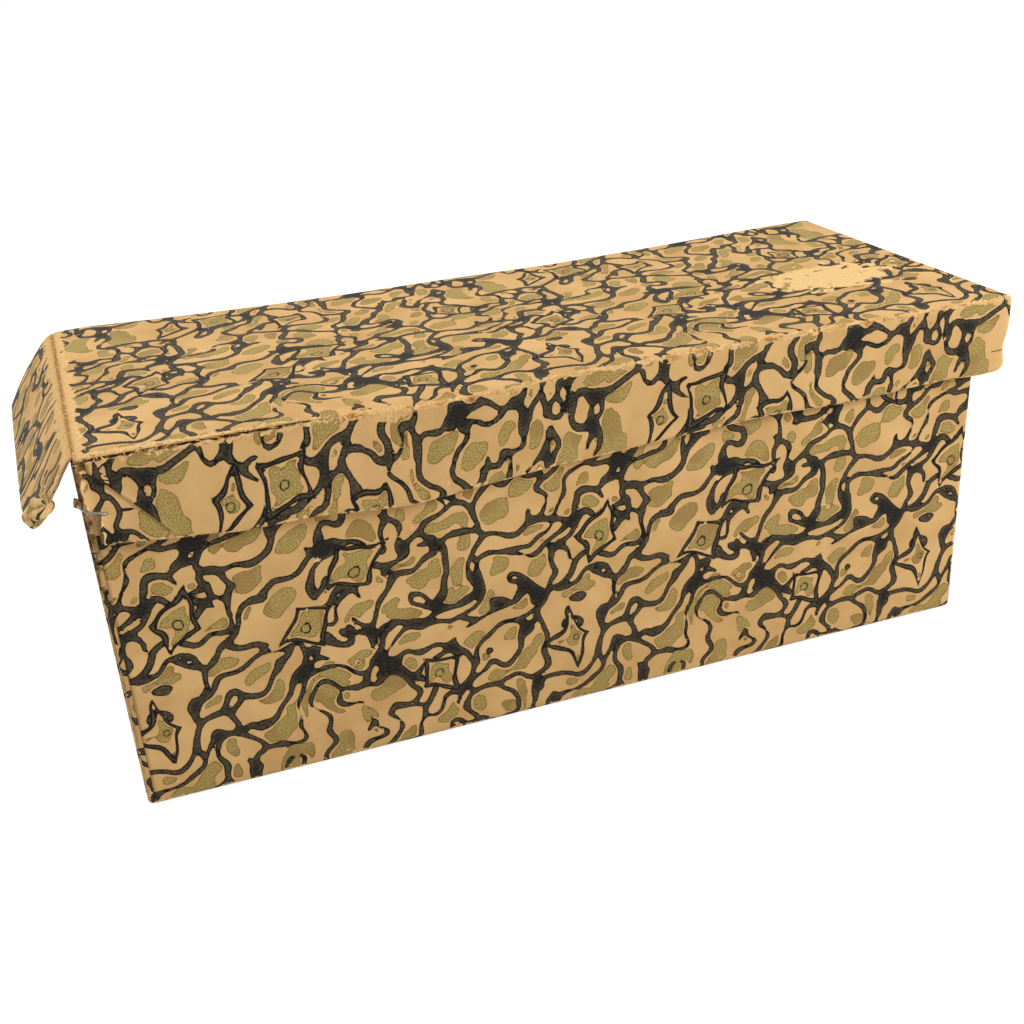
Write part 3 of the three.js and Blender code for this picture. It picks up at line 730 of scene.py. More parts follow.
class Graph:
    """Short ways to add and join the nodes of one tree."""

    def __init__(self, tree):
        self.tree = tree

    def link(self, value, socket):
        if isinstance(value, bpy.types.NodeSocket):
            self.tree.links.new(value, socket)
        else:
            socket.default_value = value

    def add(self, kind, inputs=None, **settings):
        node = self.tree.nodes.new(kind)
        for key, value in settings.items():
            setattr(node, key, value)
        for key, value in (inputs or {}).items():
            self.link(value, node.inputs[key])
        return node

    def calc(self, op, *args):
        return self.add("ShaderNodeMath", dict(enumerate(args)), operation=op).outputs[0]

    def scaled(self, vector, factor):
        given = {0: vector, "Scale": factor}
        return self.add("ShaderNodeVectorMath", given, operation="SCALE").outputs[0]

    def fade(self, value, low, high, to_low=0.0, to_high=1.0):
        given = {"Value": value, "From Min": low, "From Max": high, "To Min": to_low, "To Max": to_high}
        node = self.add("ShaderNodeMapRange", given, interpolation_type="SMOOTHSTEP")
        return node.outputs["Result"]

    def noise(self, place, scale, detail=2.0, rough=0.5):
        given = {"Vector": place, "Scale": scale, "Detail": detail, "Roughness": rough}
        return self.add("ShaderNodeTexNoise", given).outputs["Fac"]

    def place_in_mm(self):
        return self.scaled(self.add("ShaderNodeTexCoord").outputs["Object"], 1000.0)

    def stretched(self, place, x, y, z):
        return self.add("ShaderNodeMapping", {"Vector": place, "Scale": (x, y, z)}).outputs[0]

    def mix(self, share, a, b):
        return self.add("ShaderNodeMix", {"Factor": share, 6: a, 7: b}, data_type="RGBA").outputs[2]


def group(name, inputs, outputs):
    """A shader node group, with the Graph of its tree and its inner ends."""
    kinds = {"f": "NodeSocketFloat", "v": "NodeSocketVector", "c": "NodeSocketColor"}
    tree = bpy.data.node_groups.new(name, "ShaderNodeTree")
    for end, sockets in (("INPUT", inputs), ("OUTPUT", outputs)):
        for label, kind in sockets:
            tree.interface.new_socket(label, in_out=end, socket_type=kinds[kind])
    g = Graph(tree)
    return tree, g, g.add("NodeGroupInput").outputs, g.add("NodeGroupOutput").inputs


def use(g, tree, **inputs):
    """A node group placed in a material."""
    node = g.add("ShaderNodeGroup")
    node.node_tree = tree
    for label, value in inputs.items():
        g.link(value, node.inputs[label])
    return node.outputs


def paper_stock():
    """Kraft paper: cloudy colour, flecks and a felt-like surface. Place is in mm."""
    tree, g, given, out = group("paper stock", [("Place", "v"), ("Light", "c"), ("Dark", "c")],
                                [("Color", "c"), ("Height", "f")])
    place = given["Place"]
    clouds = g.noise(place, 0.055, 3.0, 0.6)
    flecks = g.noise(g.stretched(place, 1.0, 0.28, 1.0), 3.2, 3.0, 0.65)
    body = g.mix(g.fade(clouds, 0.3, 0.7), given["Dark"], given["Light"])
    body = g.mix(g.fade(flecks, 0.56, 0.8, 0.0, 0.35), body, colour(150, 108, 64))
    body = g.mix(g.fade(g.noise(place, 6.0, 2.0), 0.6, 0.85, 0.0, 0.25), body, colour(238, 208, 160))
    g.link(body, out["Color"])
    swells = g.calc("MULTIPLY", g.noise(place, 0.16, 1.0), 2.0)
    g.link(g.calc("ADD", g.noise(place, 1.4, 4.0, 0.6), swells), out["Height"])
    return tree


def torn_fibre():
    """Paper rubbed down to its felt, browner where it goes down to the board."""
    tree, g, given, out = group("torn fibre", [("Place", "v"), ("Deep", "f")],
                                [("Color", "c"), ("Height", "f")])
    place = given["Place"]
    strands = g.noise(g.stretched(place, 1.0, 0.5, 1.0), 1.5, 4.0, 0.65)
    pale = g.mix(g.fade(strands, 0.3, 0.7), colour(226, 181, 116), colour(236, 202, 142))
    brown = g.mix(g.fade(strands, 0.3, 0.7), colour(128, 76, 32), colour(214, 150, 80))
    g.link(g.mix(given["Deep"], pale, brown), out["Color"])
    g.link(strands, out["Height"])
    return tree


def material(name):
    stuff = bpy.data.materials.new(name)
    stuff.use_nodes = True
    g = Graph(stuff.node_tree)
    return stuff, g, stuff.node_tree.nodes["Principled BSDF"].inputs


def dress(g, shader, tint, rough, height, relief):
    """Joins a finish's colour, roughness and height to its shader; relief is in metres."""
    g.link(tint, shader["Base Color"])
    g.link(rough, shader["Roughness"])
    bump = g.add("ShaderNodeBump", {"Height": height, "Distance": relief, "Strength": 1.0})
    g.link(bump.outputs[0], shader["Normal"])


def covering_paper(stock, fibre):
    """The printed paper: ink and gold on kraft, worn to torn fibre."""
    stuff, g, shader = material("printed covering paper")

    def mark(label):
        return g.add("ShaderNodeAttribute", attribute_name=label).outputs["Fac"]

    sheet = g.scaled(g.add("ShaderNodeUVMap", uv_map="sheet").outputs[0], 100.0)
    ragged = g.calc("MULTIPLY_ADD", g.noise(sheet, 1.6, 3.0, 0.6), 0.5, -0.25)
    paper = use(g, stock, Place=sheet, Light=colour(219, 177, 118), Dark=colour(199, 157, 100))
    torn = use(g, fibre, Place=sheet, Deep=mark("deep"))

    star = g.calc("ADD", mark("star"), g.calc("MULTIPLY", ragged, 0.5))
    gold_in = g.calc("ADD", mark("gold"), ragged)
    gold_share = g.fade(gold_in, -0.12, 0.12)
    speckle = g.noise(sheet, 3.2, 2.0, 0.8)
    dull = g.fade(g.noise(sheet, 0.11, 1.0), 0.5, 0.62)
    gold_body = g.mix(g.fade(speckle, 0.36, 0.64), colour(122, 102, 54), colour(194, 168, 98))
    gold_body = g.mix(g.calc("MULTIPLY", dull, 0.6), gold_body, colour(150, 116, 66))
    gold_tint = g.mix(g.fade(gold_in, 0.14, 0.42), colour(126, 96, 44), gold_body)
    outline_half = g.fade(g.noise(sheet, 0.16, 1.0), 0.35, 0.65, 0.46, 0.78)
    outline = g.calc("SUBTRACT", outline_half, g.calc("ABSOLUTE", star))
    around_eye = g.calc("ABSOLUTE", g.calc("SUBTRACT", mark("eye"), 1.1))
    ring = g.calc("SUBTRACT", g.calc("MULTIPLY_ADD", ragged, 1.6, 0.16), around_eye)
    # the ink attribute also holds the slits' painted shade, which is drawn here as black ink
    ink_in = g.calc("ADD", mark("ink"), g.calc("MULTIPLY", ragged, 0.5))
    ink_in = g.calc("MAXIMUM", ink_in, g.calc("MAXIMUM", outline, ring))
    ink_share = g.fade(ink_in, -0.1, 0.15)
    streaks = g.noise(g.stretched(sheet, 1.0, 2.4, 1.0), 1.1, 5.0, 0.8)
    thin_ink = g.mix(g.fade(streaks, 0.34, 0.66), colour(22, 20, 15), colour(98, 86, 62))
    pooled_ink = g.mix(g.fade(streaks, 0.4, 0.7), colour(9, 9, 8), colour(58, 52, 41))
    ink_body = g.mix(g.fade(mark("pool"), 0.5, 0.8), thin_ink, pooled_ink)
    ink_tint = g.mix(g.fade(ink_in, 0.36, 0.62), colour(7, 7, 6), ink_body)
    fray = g.calc("MULTIPLY_ADD", g.noise(sheet, 1.1, 4.0, 0.7), 1.6, -0.8)
    worn = g.fade(g.calc("ADD", mark("wear"), fray), -0.08, 0.12)

    tint = g.mix(gold_share, paper["Color"], gold_tint)
    tint = g.mix(ink_share, tint, ink_tint)
    sound = g.calc("SUBTRACT", 1.0, worn)
    shine = g.calc("MULTIPLY", gold_share, sound)
    rough = g.calc("SUBTRACT", 0.86, g.calc("MULTIPLY", shine, 0.18))
    rough = g.calc("SUBTRACT", rough, g.calc("MULTIPLY", g.calc("MULTIPLY", ink_share, sound), 0.2))
    g.link(g.calc("MULTIPLY", shine, g.fade(speckle, 0.4, 0.7, 0.0, 0.16)), shader["Metallic"])
    height = g.calc("ADD", g.calc("MULTIPLY", paper["Height"], 0.3), g.calc("MULTIPLY", ink_share, 0.3))
    felt = g.calc("SUBTRACT", g.calc("MULTIPLY", torn["Height"], 1.6), 1.4)
    height = g.calc("ADD", height, g.calc("MULTIPLY", worn, felt))
    dress(g, shader, g.mix(worn, tint, torn["Color"]), rough, height, 0.00012)
    shader["Specular IOR Level"].default_value = 0.14
    return stuff


def plain_sheet(name, stock, light, dark):
    stuff, g, shader = material(name)
    place = g.place_in_mm()
    paper = use(g, stock, Place=place, Light=light, Dark=dark)
    rough = g.fade(g.noise(place, 0.9), 0.3, 0.7, 0.82, 0.94)
    dress(g, shader, paper["Color"], rough, paper["Height"], 0.00008)
    return stuff


def raw_board(name, dark, light):
    """Brown board: plies along its edges, fibres standing up and pale lumps."""
    stuff, g, shader = material(name)
    place = g.place_in_mm()
    lying = g.noise(g.stretched(place, 0.12, 0.12, 1.0), 2.6, 4.0, 0.6)
    standing = g.noise(g.stretched(place, 1.0, 1.0, 0.1), 1.9, 4.0, 0.6)
    plies = g.calc("MULTIPLY_ADD", g.calc("ADD", lying, standing), 0.9, -0.4)
    lumps = g.noise(place, 0.8, 4.0, 0.65)
    tint = g.mix(g.fade(plies, 0.3, 0.7), dark, light)
    tint = g.mix(g.fade(lumps, 0.5, 0.75, 0.0, 0.6), tint, colour(216, 170, 112))
    rough = g.fade(lumps, 0.3, 0.7, 0.86, 0.98)
    dress(g, shader, tint, rough, g.calc("ADD", plies, lumps), 0.0003)
    return stuff


def staple_wire():
    """Dull tinned wire with rust spots, drawn lengthwise."""
    stuff, g, shader = material("tinned wire")
    place = g.place_in_mm()
    spots = g.noise(place, 2.0, 4.0, 0.7)
    rust = g.fade(spots, 0.6, 0.72)
    tint = g.mix(rust, colour(132, 130, 124), colour(88, 66, 46))
    drawn = g.noise(g.stretched(place, 1.0, 6.0, 6.0), 2.0)
    dress(g, shader, tint, g.fade(spots, 0.3, 0.7, 0.26, 0.5), drawn, 0.00003)
    g.link(g.fade(rust, 0.0, 1.0, 0.95, 0.3), shader["Metallic"])
    return stuff


STOCK = paper_stock()
FIBRE = torn_fibre()
STUFFS = {
    "covering_paper": covering_paper(STOCK, FIBRE),
    "plain_paper": plain_sheet("plain kraft paper", STOCK, colour(208, 172, 124), colour(186, 148, 102)),
    "lining_paper": plain_sheet("lining paper", STOCK, colour(226, 212, 180), colour(206, 188, 150)),
    "board": raw_board("raw brown board", colour(112, 74, 38), colour(206, 156, 98)),
    "staple_wire": staple_wire(),
}
# A paler copy of the raw board for the shred: painted light, lightened to make up for the shade it sits
# in beside the torn skirt
SHRED_PAINTED_LIGHT_STUFF = raw_board("torn board shred painted light", colour(226, 182, 122), colour(248, 218, 164))
SLOTS = {row["node"]: row["material_slot"] for row in frame["record"]["subparts"]}


def finish_piece(piece, slot, body, *nodes, inner=None):
    """Gives a piece its materials, body and the CAD nodes that it stands for."""
    piece.data.materials.append(STUFFS[slot])
    if inner:
        piece.data.materials.append(STUFFS[inner])
    if nodes:
        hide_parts(*nodes)
    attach(piece, body)
    return piece


def finish_covering(piece, body, node, thickness=WRAP):
    """Printed paper outside and plain paper inside, as thick as it is."""
    finish_piece(piece, "covering_paper", body, node, inner="plain_paper")
    shell = piece.modifiers.new("paper thickness", "SOLIDIFY")
    shell.thickness = thickness * MM
    shell.offset = -1
    shell.material_offset = 1
    shell.material_offset_rim = 1


for name, node in frame["nodes"].items():
    if not node.data.materials:
        node.data.materials.append(None)
    for place in node.material_slots:
        place.material = STUFFS[SLOTS[name]]


# Boards and linings that have sagged with the paper

def bend_top_board(p):
    """Its front edge is crushed back behind the open tear."""
    out = bend_lid(p)
    out[..., 1] += 1.3 * smooth((-54.0 - p[..., 0]) / 10.0) * smooth((-45.5 - p[..., 1]) / 1.2)
    return out


def merged_copy(node):
    """A CAD node's mesh with its loose triangles joined."""
    bm = bmesh.new()
    bm.from_mesh(frame["nodes"][node].data)
    bmesh.ops.remove_doubles(bm, verts=bm.verts, dist=1e-6)
    return bm


def slice_across(bm, axis, places):
    """Cuts a mesh square to an axis at places in mm, so that it can bend there."""
    way = Vector([float(k == axis) for k in range(3)])
    for at in places:
        bmesh.ops.bisect_plane(bm, geom=list(bm.verts) + list(bm.edges) + list(bm.faces), dist=1e-7,
                               plane_co=way * (at * MM), plane_no=way)


def piece_from(bm, name):
    mesh = bpy.data.meshes.new(name)
    bm.to_mesh(mesh)
    bm.free()
    return place_object(name, mesh)


def bent_copy(node, bend, spacing=7.0):
    """A merged and finely cut copy of a CAD node, moved by bend."""
    bm = merged_copy(node)
    low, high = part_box(node)
    for axis in (0, 1):
        slice_across(bm, axis, np.arange(low[axis] / MM + spacing, high[axis] / MM - 1, spacing))
    slice_across(bm, 2, (72.0, 77.0))
    places = np.array([v.co for v in bm.verts]) / MM
    for vert, place in zip(bm.verts, bend(places) * MM):
        vert.co = place
    return piece_from(bm, node + "_sagged")


for part in ("front_board", "back_board", "left_board", "right_board", "wall_lining"):
    node = "base_" + part
    finish_piece(bent_copy(node, bend_base), SLOTS[node], "base", node)
for part in ("top_board", "front_skirt_board", "back_skirt_board", "right_skirt_board", "lining"):
    node = "lid_" + part
    bend = bend_top_board if part == "top_board" else bend_lid
    finish_piece(bent_copy(node, bend), SLOTS[node], "lid", node)
for node in ("lid_staple_front_right", "lid_staple_back_right"):
    finish_piece(bent_copy(node, bend_lid, 1.5), "staple_wire", "lid", node)

for sheet in base_covering():
    finish_covering(sheet, "base", "base_wrap_paper")
finish_covering(lid_covering(), "lid", "lid_wrap_paper")


# Torn left skirt: n is inwards from its outer face, d is down it from the crease

FLAP_IN = np.array([np.cos(SPLAY), 0.0, -np.sin(SPLAY)])
FLAP_DOWN = np.array([-np.sin(SPLAY), 0.0, -np.cos(SPLAY)])
CREASE = np.array([LID_LEFT, 0.0, LID_TOP])
WIRE_HEIGHT = 71.9
FLAP_START = 0.7
FLAP_BACK = 47.0
NARROW_FROM = -38.0
HEM_DROP = 0.72
flap_depth = profile(
    (-45.5, 8.0), (-44.4, 11.0), (-43, 13.6), (-41, 16.0), (-38, 17.7), (-34, 19.2), (-27, 20.6),
    (-20, 20.9), (0, 21.3), (20, 21.7), (44, 22.0), (47.2, 21.8))


def flap_front(d):
    """Where the skirt's front edge is, d down from the crease."""
    return np.interp(d, (0.0, 3.0, 8.0, 13.0), (-43.6, -43.2, -43.7, -44.8))


def flap_bulge(y, d):
    """How far the skirt has bowed outwards towards its back end."""
    return -0.8 * np.sin(np.pi * np.clip(d / 22.0, 0, 1)) * smooth((y - 5.0) / 40.0)


def on_flap(n, y, d):
    """Places from the skirt's own directions."""
    n, y, d = np.broadcast_arrays(n, y, d)
    out = CREASE + n[..., None] * FLAP_IN + d[..., None] * FLAP_DOWN
    out[..., 1] = y
    return out


def flap_wear(y, d, u, v):
    """As lid_wear, for the torn skirt."""
    fine, middle = sampled(FINE, u, v), sampled(MIDDLE, u, v)
    from_front = y - flap_front(d)
    crease = 3.8 + 0.6 * fine + 0.7 * middle - d
    front = 1.0 + 0.6 * fine + 0.04 * d - from_front
    low = 0.35 + 0.5 * fine + 0.3 * middle - (flap_depth(y) - d)
    broken = 4.2 + 1.6 * fine + 1.4 * middle - np.hypot((y + 41.0) / 1.5, d - 17.5)
    upper_front = 3.6 + 0.8 * fine - np.hypot(from_front, d * 0.8)
    back = 0.3 + 0.5 * fine - (FLAP_BACK - y)
    wear = np.max([crease, front, low, broken, upper_front, back], 0)
    crease_deep = 0.9 * np.clip(1.6 - d, 0, 1)
    deep = np.max([crease_deep, 0.3 * np.clip(0.8 - from_front, 0, 1), 0.15 + 0 * y], 0)
    return wear, deep


def flap_covering():
    """The torn skirt's paper: its face, its rolled front edge and its hem."""
    flap = Panels(LID_SHEET)
    across = np.concatenate([np.linspace(0, 1, 104), [1.0, 1.0, 1.0]])[None, :]
    rolled = np.concatenate([np.zeros(104), [0.2, 0.45, 0.6]])[None, :]
    down = np.concatenate([[0, 0.03, 0.065], steps(0.1, 0.042, 1.0)])[:, None]
    y = FLAP_BACK + (flap_front(FLAP_START + 20.0 * down) - FLAP_BACK) * across
    d = FLAP_START + (flap_depth(y) - FLAP_START) * down
    u, v = LID_LEFT - d, SHEET_FRONT_EDGE + y + LID_HALF_WIDTH
    n = flap_bulge(y, d) + 0.6 * np.clip(1 - (d - FLAP_START) / 1.9, 0, 1) ** 2
    n = n + 0.15 * np.clip(1 - (y - flap_front(d)) / 1.4, 0, 1) ** 2 + rolled
    y = y + 1.6 * rolled ** 2
    wear, deep = flap_wear(y, d, u, v)
    flap.add(on_flap(n, y, d), u, v, wear, deep, None, True)

    # the hem: how far in, how far down and how far along the sheet its rows lie
    rows = np.array([(0.0, 0.0, 0.0), (0.12, 0.28, 0.3), (0.5, 0.6, 0.8), (1.3, HEM_DROP, 1.6),
                     (2.1, 0.6, 2.4), (2.5, 0.25, 2.9), (2.62, -0.2, 3.3), (2.62, 0.0, 7.0),
                     (2.6, 0.0, 11.0)])
    hem_n, hem_d, run = rows.T[:, :, None]
    y, low = y[-1], d[-1]
    turned = 1.5 + 6.5 * smooth((y + 38.0) / 12.0)
    hem_n = hem_n * (0.12 + 0.88 * smooth((y + 43.0) / 12.0)) + n[-1] * np.linspace(1, 0, 9)[:, None]
    hem_d = hem_d + low
    hem_d[-2] = low - 0.5 * turned
    hem_d[-1] = low - turned
    u = u[-1] - run
    v = v[-1] + 0 * run
    wear = 0.2 + 0.5 * sampled(FINE, u, v) - 0.25 * run
    flap.add(on_flap(hem_n, y, hem_d - HEM_DROP), u, v, wear, 0.0, None, True)
    return flap.piece("torn_skirt_covering")


def bend_flap(p):
    """Fits the skirt's board to its narrower, bulged covering; its torn end has split to a wedge."""
    rel = p - CREASE
    n, d, y = rel @ FLAP_IN, rel @ FLAP_DOWN, p[..., 1]
    y = np.where(y < NARROW_FROM, NARROW_FROM + (y - NARROW_FROM) * (4.8 / 6.2), y * 46.7 / 47.2)
    rough = 0.35 * sampled(FINE, d * 3, n * 7 + 9) * (y < -42.0)
    split = 4.6 * np.maximum(n - 0.35, 0) * smooth((-18.0 - y) / 24.0)
    return on_flap(n + flap_bulge(y, d), y + rough + split, d - 0.35 * (d > 19.0))


def crumpled_corner():
    """The loose paper at the broken corner, bunched into a lobe."""
    lobe = Panels(LID_SHEET)
    # the lobe's middle and its own three directions, as in, along Y and down the skirt
    centre = np.array([-0.1, -41.3, 14.7])
    along = np.array([0.05, -0.77, -0.64])
    out = np.array([0.0, -0.64, 0.77])
    thick = np.array([1.0, 0.0, 0.0])
    half_length, half_width, half_thickness = 5.7, 2.9, 1.9
    turn = np.linspace(0, 2 * np.pi, 49)[None, :]
    way = np.linspace(0, np.pi, 33)[:, None]
    s = -np.cos(way) + 0 * turn
    girth = np.sin(way) ** 0.75 * (1 + 0.25 * s)
    ridges = 1 + 0.11 * np.sin(3 * turn + 2.2 * s + 0.6) + 0.08 * np.sin(5 * turn - 3.5 * s)
    fold = 0.16 * hump(turn, 2.2 + 0.9 * s, 0.28)
    size = girth * (ridges + 0.05 * np.sin(5 * s + 2 * np.cos(turn)) - fold)
    place = centre + half_length * s[..., None] * along
    place = place + (half_width * np.cos(turn) * size)[..., None] * out
    place = place + (half_thickness * np.sin(turn) * size)[..., None] * thick
    u = LID_LEFT - 15.0 + 2.6 * turn + 0 * s
    v = SHEET_FRONT_EDGE + LID_HALF_WIDTH - 41.0 - 6.5 * s
    bare = 0.9 + 0.9 * sampled(FINE, u, v) + 1.1 * sampled(MIDDLE, u, v) - 0.9 * (s > 0.0)
    lobe.add(on_flap(*np.moveaxis(place, -1, 0)), u, v, bare, 0.1, None, True)
    return lobe.piece("torn_skirt_crumpled_corner")


def crease_paper():
    """Paper in the crease, between the lid's top and the torn skirt."""
    strip = Panels(LID_SHEET)
    y = np.linspace(46.8, -43.4, 92)
    # from the lid's top over the crease to the skirt: sheet distance, depth below the outer face
    on_lid = ((-0.75, 0.4), (-0.3, 0.6), (0.0, 1.0))
    on_skirt = ((0.35, 1.05), (0.8, 0.8), (1.4, 0.6))
    places = []
    for a, b in on_lid:
        flat = np.stack([LID_LEFT - a + 0 * y, y, LID_TOP - b + 0 * y], -1)
        flat[:, 2] -= sag(flat[:, 0], flat[:, 1])
        places.append(flat)
    places.extend(on_flap(b, y, a) for a, b in on_skirt)
    u = LID_LEFT - np.array(on_lid + on_skirt)[:, :1] + 0 * y
    v = SHEET_FRONT_EDGE + y + LID_HALF_WIDTH + 0 * u
    strip.add(np.stack(places), u, v, 3.0, 0.85, None, True)
    return strip.piece("crease_paper")


def corner_tab(side):
    """The mitred paper left on a long skirt's torn end: lifted at its edge, torn off below the wire."""
    tab = Panels(LID_SHEET)
    z = np.concatenate([np.linspace(81.7, 74.6, 22), np.linspace(74.4, 69.6, 26),
                        np.linspace(69.2, SKIRT_LOW + 0.1, 14)])[:, None]
    end = mitre_start(z) + 1.6
    share = np.linspace(0, 1, 56)[None, :] ** 1.15
    rough = sampled(FINE, 7.0 + 0 * z, z)
    below = smooth((73.0 - z) / 0.9)
    torn_back = 2.2 + 0.15 * rough - 0.5 * smooth((69.0 - z) / 4.0)
    left = -103.8 + 0.25 * np.sin(0.8 * z) + 0.12 * rough + below * torn_back
    x = left + (end - left) * share
    curl = np.clip(1 - (x - left) / 1.9, 0, 1) ** 2
    lift = curl * (0.75 + 0.2 * np.sin(1.1 * z + 0.8)) * (1 - 0.5 * below)
    over_wire = smooth((x + 100.9) / 1.0) * smooth((-96.3 - x) / 3.0)
    lift = lift + 0.3 * over_wire * hump(z, WIRE_HEIGHT, 0.45)
    y = side * (LID_HALF_WIDTH - 0.12 + lift)
    # The dark slot beside the wire's leg: painted shade, drawn as black ink; the paper has no opening
    # there
    slit_shade = 0.75 - np.hypot((x + 96.6) / 1.6, (z - WIRE_HEIGHT - 0.05) / 0.36) * 0.75
    u, v = LID_LEFT - (LID_TOP - z) + 0 * x, SHEET_FRONT_EDGE - (x - LID_LEFT) + 0 * z
    rub = 0.5 * sampled(FINE, u, v)
    wear = np.maximum(0.35 + rub - (x - left), 0.2 + rub - (z - SKIRT_LOW))
    place = np.stack(np.broadcast_arrays(x, y, z + 0 * x), -1)
    tab.add(place, u, v, wear, 0.1, None, side < 0, slit_shade)
    return tab.piece("corner_tab_" + ("front" if side < 0 else "back"), bend_lid)


def curve_through(points, per_span=8):
    """A smooth centripetal curve through points."""
    p = np.array(points, float)
    p = np.vstack([2 * p[0] - p[1], p, 2 * p[-1] - p[-2]])

    def between(a, b, ta, tb, s):
        return ((tb - s) * a + (s - ta) * b) / (tb - ta)

    out = []
    for k in range(1, len(p) - 2):
        near = p[k - 1:k + 3]
        spans = np.maximum(np.linalg.norm(np.diff(near, axis=0), axis=1) ** 0.5, 1e-4)
        t = np.concatenate([[0], np.cumsum(spans)])
        for s in np.linspace(t[1], t[2], per_span, endpoint=False):
            row = [between(near[i], near[i + 1], t[i], t[i + 1], s) for i in range(3)]
            row = [between(row[i], row[i + 1], t[i], t[i + 2], s) for i in range(2)]
            out.append(between(row[0], row[1], t[1], t[2], s))
    out.append(p[-2])
    return np.array(out)


def wire(name, path, radius, sides=14):
    """A round wire along a path in mm, with closed ends."""
    ahead = np.gradient(path, axis=0)
    ahead /= np.linalg.norm(ahead, axis=1)[:, None]
    up = np.array([0.0, 0.0, 1.0])
    rings = []
    for p, a in zip(path, ahead):
        side = np.cross(a, up)
        side /= np.linalg.norm(side)
        top = np.cross(side, a)
        turn = np.linspace(0, 2 * np.pi, sides, endpoint=False)
        rings.append(p + radius * (np.cos(turn)[:, None] * side + np.sin(turn)[:, None] * top))
    bm = bmesh.new()
    corners = [bm.verts.new(place) for place in np.concatenate(rings) * MM]
    for i in range(len(path) - 1):
        for k in range(sides):
            a, b = i * sides + k, i * sides + (k + 1) % sides
            bm.faces.new([corners[c] for c in (a, b, b + sides, a + sides)])
    bm.faces.new(corners[:sides][::-1])
    bm.faces.new(corners[-sides:])
    bmesh.ops.recalc_face_normals(bm, faces=bm.faces)
    for face in bm.faces:
        face.smooth = True
    return piece_from(bm, name)


def pulled_staple(side):
    """One leg in the skirt's board, the crown bent flat along the corner, its far leg free."""
    route = np.array([
        (-100.2, 45.4, 71.8), (-100.2, 47.0, 71.9), (-100.5, 47.9, 72.1), (-101.6, 48.1, 72.6),
        (-103.4, 48.1, 73.1), (-104.6, 47.8, 73.7), (-105.3, 46.9, 74.3), (-105.4, 45.0, 74.5)])
    route[:, 1] *= side
    return wire("pulled_staple_" + ("front" if side < 0 else "back"), curve_through(route), 0.25)


def frayed_shred(node):
    """A shred of board with a torn surface, smaller than its node and up on the wire's free leg."""
    grain = 0.35
    bm = merged_copy(node)
    low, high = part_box(node)
    for axis in range(3):
        slice_across(bm, axis, np.arange(low[axis] / MM + grain, high[axis] / MM - 0.1, grain))
    bm.normal_update()
    for vert in bm.verts:
        x, y, z = vert.co / MM
        push = 0.16 * sampled(FINE, x * 3 + z, y * 3 + z * 2)
        vert.co += vert.normal * (push - 0.1) * MM
    middle = (Vector(low) + Vector(high)) / 2
    lifted = middle + Vector((0.7, 0, 0.9)) * MM
    for vert in bm.verts:
        vert.co = lifted + (vert.co - middle) * 0.68
    return piece_from(bm, node + "_frayed")


finish_covering(flap_covering(), "torn_skirt", "lid_left_skirt_wrap")
finish_piece(bent_copy("lid_left_skirt_board", bend_flap), "board", "torn_skirt", "lid_left_skirt_board")
finish_piece(crumpled_corner(), "covering_paper", "torn_skirt", "lid_left_skirt_curl")
for side, label in ((-1, "front"), (1, "back")):
    finish_covering(corner_tab(side), "lid", f"lid_corner_tab_{label}_left", 0.25)
    finish_piece(pulled_staple(side), "staple_wire", "lid", f"lid_staple_{label}_left_pulled")
    node = f"lid_board_shred_{label}_left"
    shred = finish_piece(frayed_shred(node), "board", "lid", node)
    # the shred takes the paler board copy, its painted light
    shred.data.materials[0] = SHRED_PAINTED_LIGHT_STUFF
crease = crease_paper()
crease.data.materials.append(STUFFS["covering_paper"])
crease.data.materials.append(STUFFS["plain_paper"])
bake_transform(crease)


# Torn fibres along the worn edges

